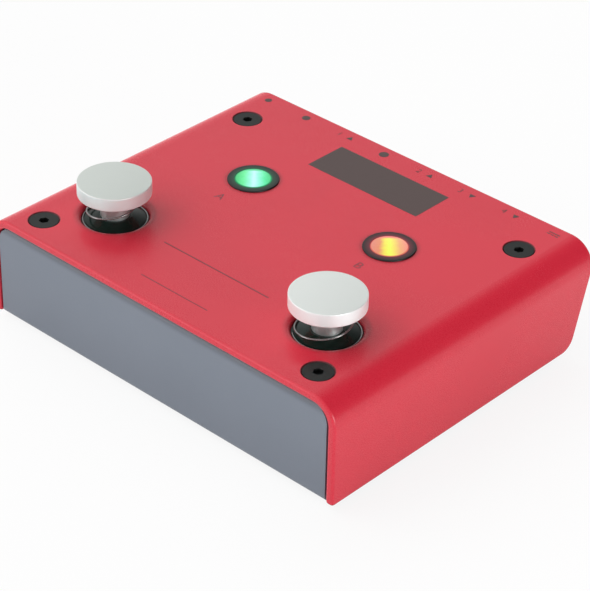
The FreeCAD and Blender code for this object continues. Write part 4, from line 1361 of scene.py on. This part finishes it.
@dataclass
class Studio:
    """A pale floor, a soft bright surrounding and a camera at the photograph's angle.

    Attributes:
        azimuth: How far the camera stands to the right of the front, in degrees.
        elevation: How far it looks down, in degrees.
        roll: How far it is tilted, in degrees.
        floor_seen: How much of the floor's look from the camera is plain white.
        floor_mirrored: How much of its look in metal and glass is.
        patches: What lights the object.
        mirrored: What metal and glass show, over an even pale light.
        pale: How bright that even light is.
    """

    focus: float = 142.42
    place: Point = (360.3 * MM, -390.75 * MM, 361.8 * MM)
    azimuth: float = 42.51
    elevation: float = 33.42
    roll: float = 1.19
    floor_size: float = 6.0
    floor_colour: Colour = (0.90, 0.90, 0.90)
    floor_seen: float = 0.88
    floor_mirrored: float = 0.60
    patches: tuple[SoftLight, ...] = (
        SoftLight(180.0, 50.0, 8.0, 45.0, 1.95),
        SoftLight(225.0, 52.0, 8.0, 45.0, 0.20),
        SoftLight(225.0, 20.0, 8.0, 45.0, 1.40),
        SoftLight(270.0, 30.0, 8.0, 45.0, 0.90),
        SoftLight(315.0, 52.0, 8.0, 45.0, 0.20),
        SoftLight(135.0, 15.0, 8.0, 45.0, 1.90),
        SoftLight(0.0, 5.0, 5.0, 35.0, 0.80),
    )
    mirrored: tuple[SoftLight, ...] = (
        SoftLight(57.0, 43.0, 18.0, 62.0, -0.55),
        SoftLight(230.0, 8.0, 6.0, 22.0, 3.00),
    )
    pale: float = 0.62
    lamp_place: Point = (0.50, -0.05, 0.09)
    lamp_size: float = 0.16
    lamp_watts: float = 0.90

    def build(self) -> None:
        """Sets the stage."""
        self.camera()
        self.floor()
        self.world()
        self.lamp()
        bpy.context.scene.view_settings.view_transform = "Standard"

    def camera(self) -> None:
        """Places the camera."""
        data = bpy.data.cameras.new("camera")
        data.lens = self.focus
        camera = bpy.data.objects.new("camera", data)
        turn, tilt, roll = (math.radians(a) for a in (self.azimuth, self.elevation, self.roll))
        back = Vector((math.sin(turn) * math.cos(tilt), -math.cos(turn) * math.cos(tilt), math.sin(tilt)))
        level = UP.cross(back).normalized()
        right = level * math.cos(roll) + back.cross(level) * math.sin(roll)
        facing = Matrix((right, back.cross(right), back)).transposed().to_4x4()
        camera.matrix_world = Matrix.Translation(self.place) @ facing
        bpy.context.scene.collection.objects.link(camera)
        bpy.context.scene.camera = camera

    def floor(self) -> None:
        """Lays the floor."""
        half = self.floor_size / 2
        corners = [(-half, -half, 0.0), (half, -half, 0.0), (half, half, 0.0), (-half, half, 0.0)]
        mesh = bpy.data.meshes.new("floor")
        mesh.from_pydata(corners, [], [(0, 1, 2, 3)])
        floor = bpy.data.objects.new("floor", mesh)
        bpy.context.scene.collection.objects.link(floor)
        shading = Shading.named("floor")
        seen, mirrored = self.looks(shading)
        plain = seen * self.floor_seen + mirrored * self.floor_mirrored
        diffuse = shading.add("ShaderNodeBsdfDiffuse", inputs={"Color": self.floor_colour})
        glow = shading.add("ShaderNodeEmission", inputs={"Color": WHITE, "Strength": 1.0})
        surface = shading.add("ShaderNodeMixShader", inputs={0: plain, 1: diffuse, 2: glow})
        shading.add("ShaderNodeOutputMaterial", inputs={"Surface": surface})
        mesh.materials.append(shading.owner)
        floor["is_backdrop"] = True

    def looks(self, shading: Shading) -> tuple[Flow, Flow]:
        """What kind of ray meets a surface.

        Args:
            shading: The surface's tree.

        Returns:
            Whether the ray comes from the camera, and whether it comes from metal or glass.
        """
        kinds = ("Is Camera Ray", "Is Glossy Ray", "Is Transmission Ray")
        seen, glossy, through = (shading.add("ShaderNodeLightPath", output=kind) for kind in kinds)
        return seen, glossy + through

    def world(self) -> None:
        """Lights the surroundings: white to look at, pale in metal and glass, and soft patches as light."""
        world = bpy.data.worlds.new("surroundings")
        shading = Shading(world)
        strengths = (self.sky(shading, 0.0, self.patches), self.sky(shading, self.pale, self.mirrored), 1.0)
        soft, pale, white = (
            shading.add("ShaderNodeBackground", inputs={"Color": WHITE, "Strength": strength})
            for strength in strengths
        )
        seen, mirrored = self.looks(shading)
        unseen = shading.add("ShaderNodeMixShader", inputs={0: mirrored, 1: soft, 2: pale})
        surface = shading.add("ShaderNodeMixShader", inputs={0: seen, 1: unseen, 2: white})
        shading.add("ShaderNodeOutputWorld", inputs={"Surface": surface})
        bpy.context.scene.world = world

    def sky(self, shading: Shading, base: float, patches: Sequence[SoftLight]) -> Flow | float:
        """How bright the surroundings are in each direction.

        Args:
            shading: The world's tree.
            base: The even light between the patches.
            patches: Patches that are brighter or darker than it.

        Returns:
            The brightness, where 1 is white.
        """
        way = shading.add("ShaderNodeTexCoord", output="Generated")
        light: Flow | float = base
        for patch in patches:
            vectors = {0: way, 1: patch.way}
            facing = shading.add("ShaderNodeVectorMath", {"operation": "DOT_PRODUCT"}, vectors, "Value")
            edge, full = (math.cos(math.radians(angle)) for angle in (patch.outer, patch.inner))
            light = facing.step(edge, full) * patch.power + light
        return light

    def lamp(self) -> None:
        """Hangs a soft square lamp to the right that points at the object."""
        data = bpy.data.lights.new("side", "AREA")
        data.size = self.lamp_size
        data.energy = self.lamp_watts
        lamp = bpy.data.objects.new("side", data)
        lamp.location = self.lamp_place
        lamp.rotation_euler = Vector(self.lamp_place).to_track_quat("Z", "Y").to_euler()
        bpy.context.scene.collection.objects.link(lamp)


def main() -> None:
    """Builds the studio and every sub-assembly."""
    logging.basicConfig(level=logging.INFO, format="%(message)s")
    for part in (Studio(), Casing(), FootSwitches(), Lamps(), Electronics(), RearRow(), Printing()):
        part.build()
        LOG.info("built %s", type(part).__name__)
    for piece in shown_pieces():
        LOG.info("piece %s", piece.name)


if __name__ == "__main__":
    main()
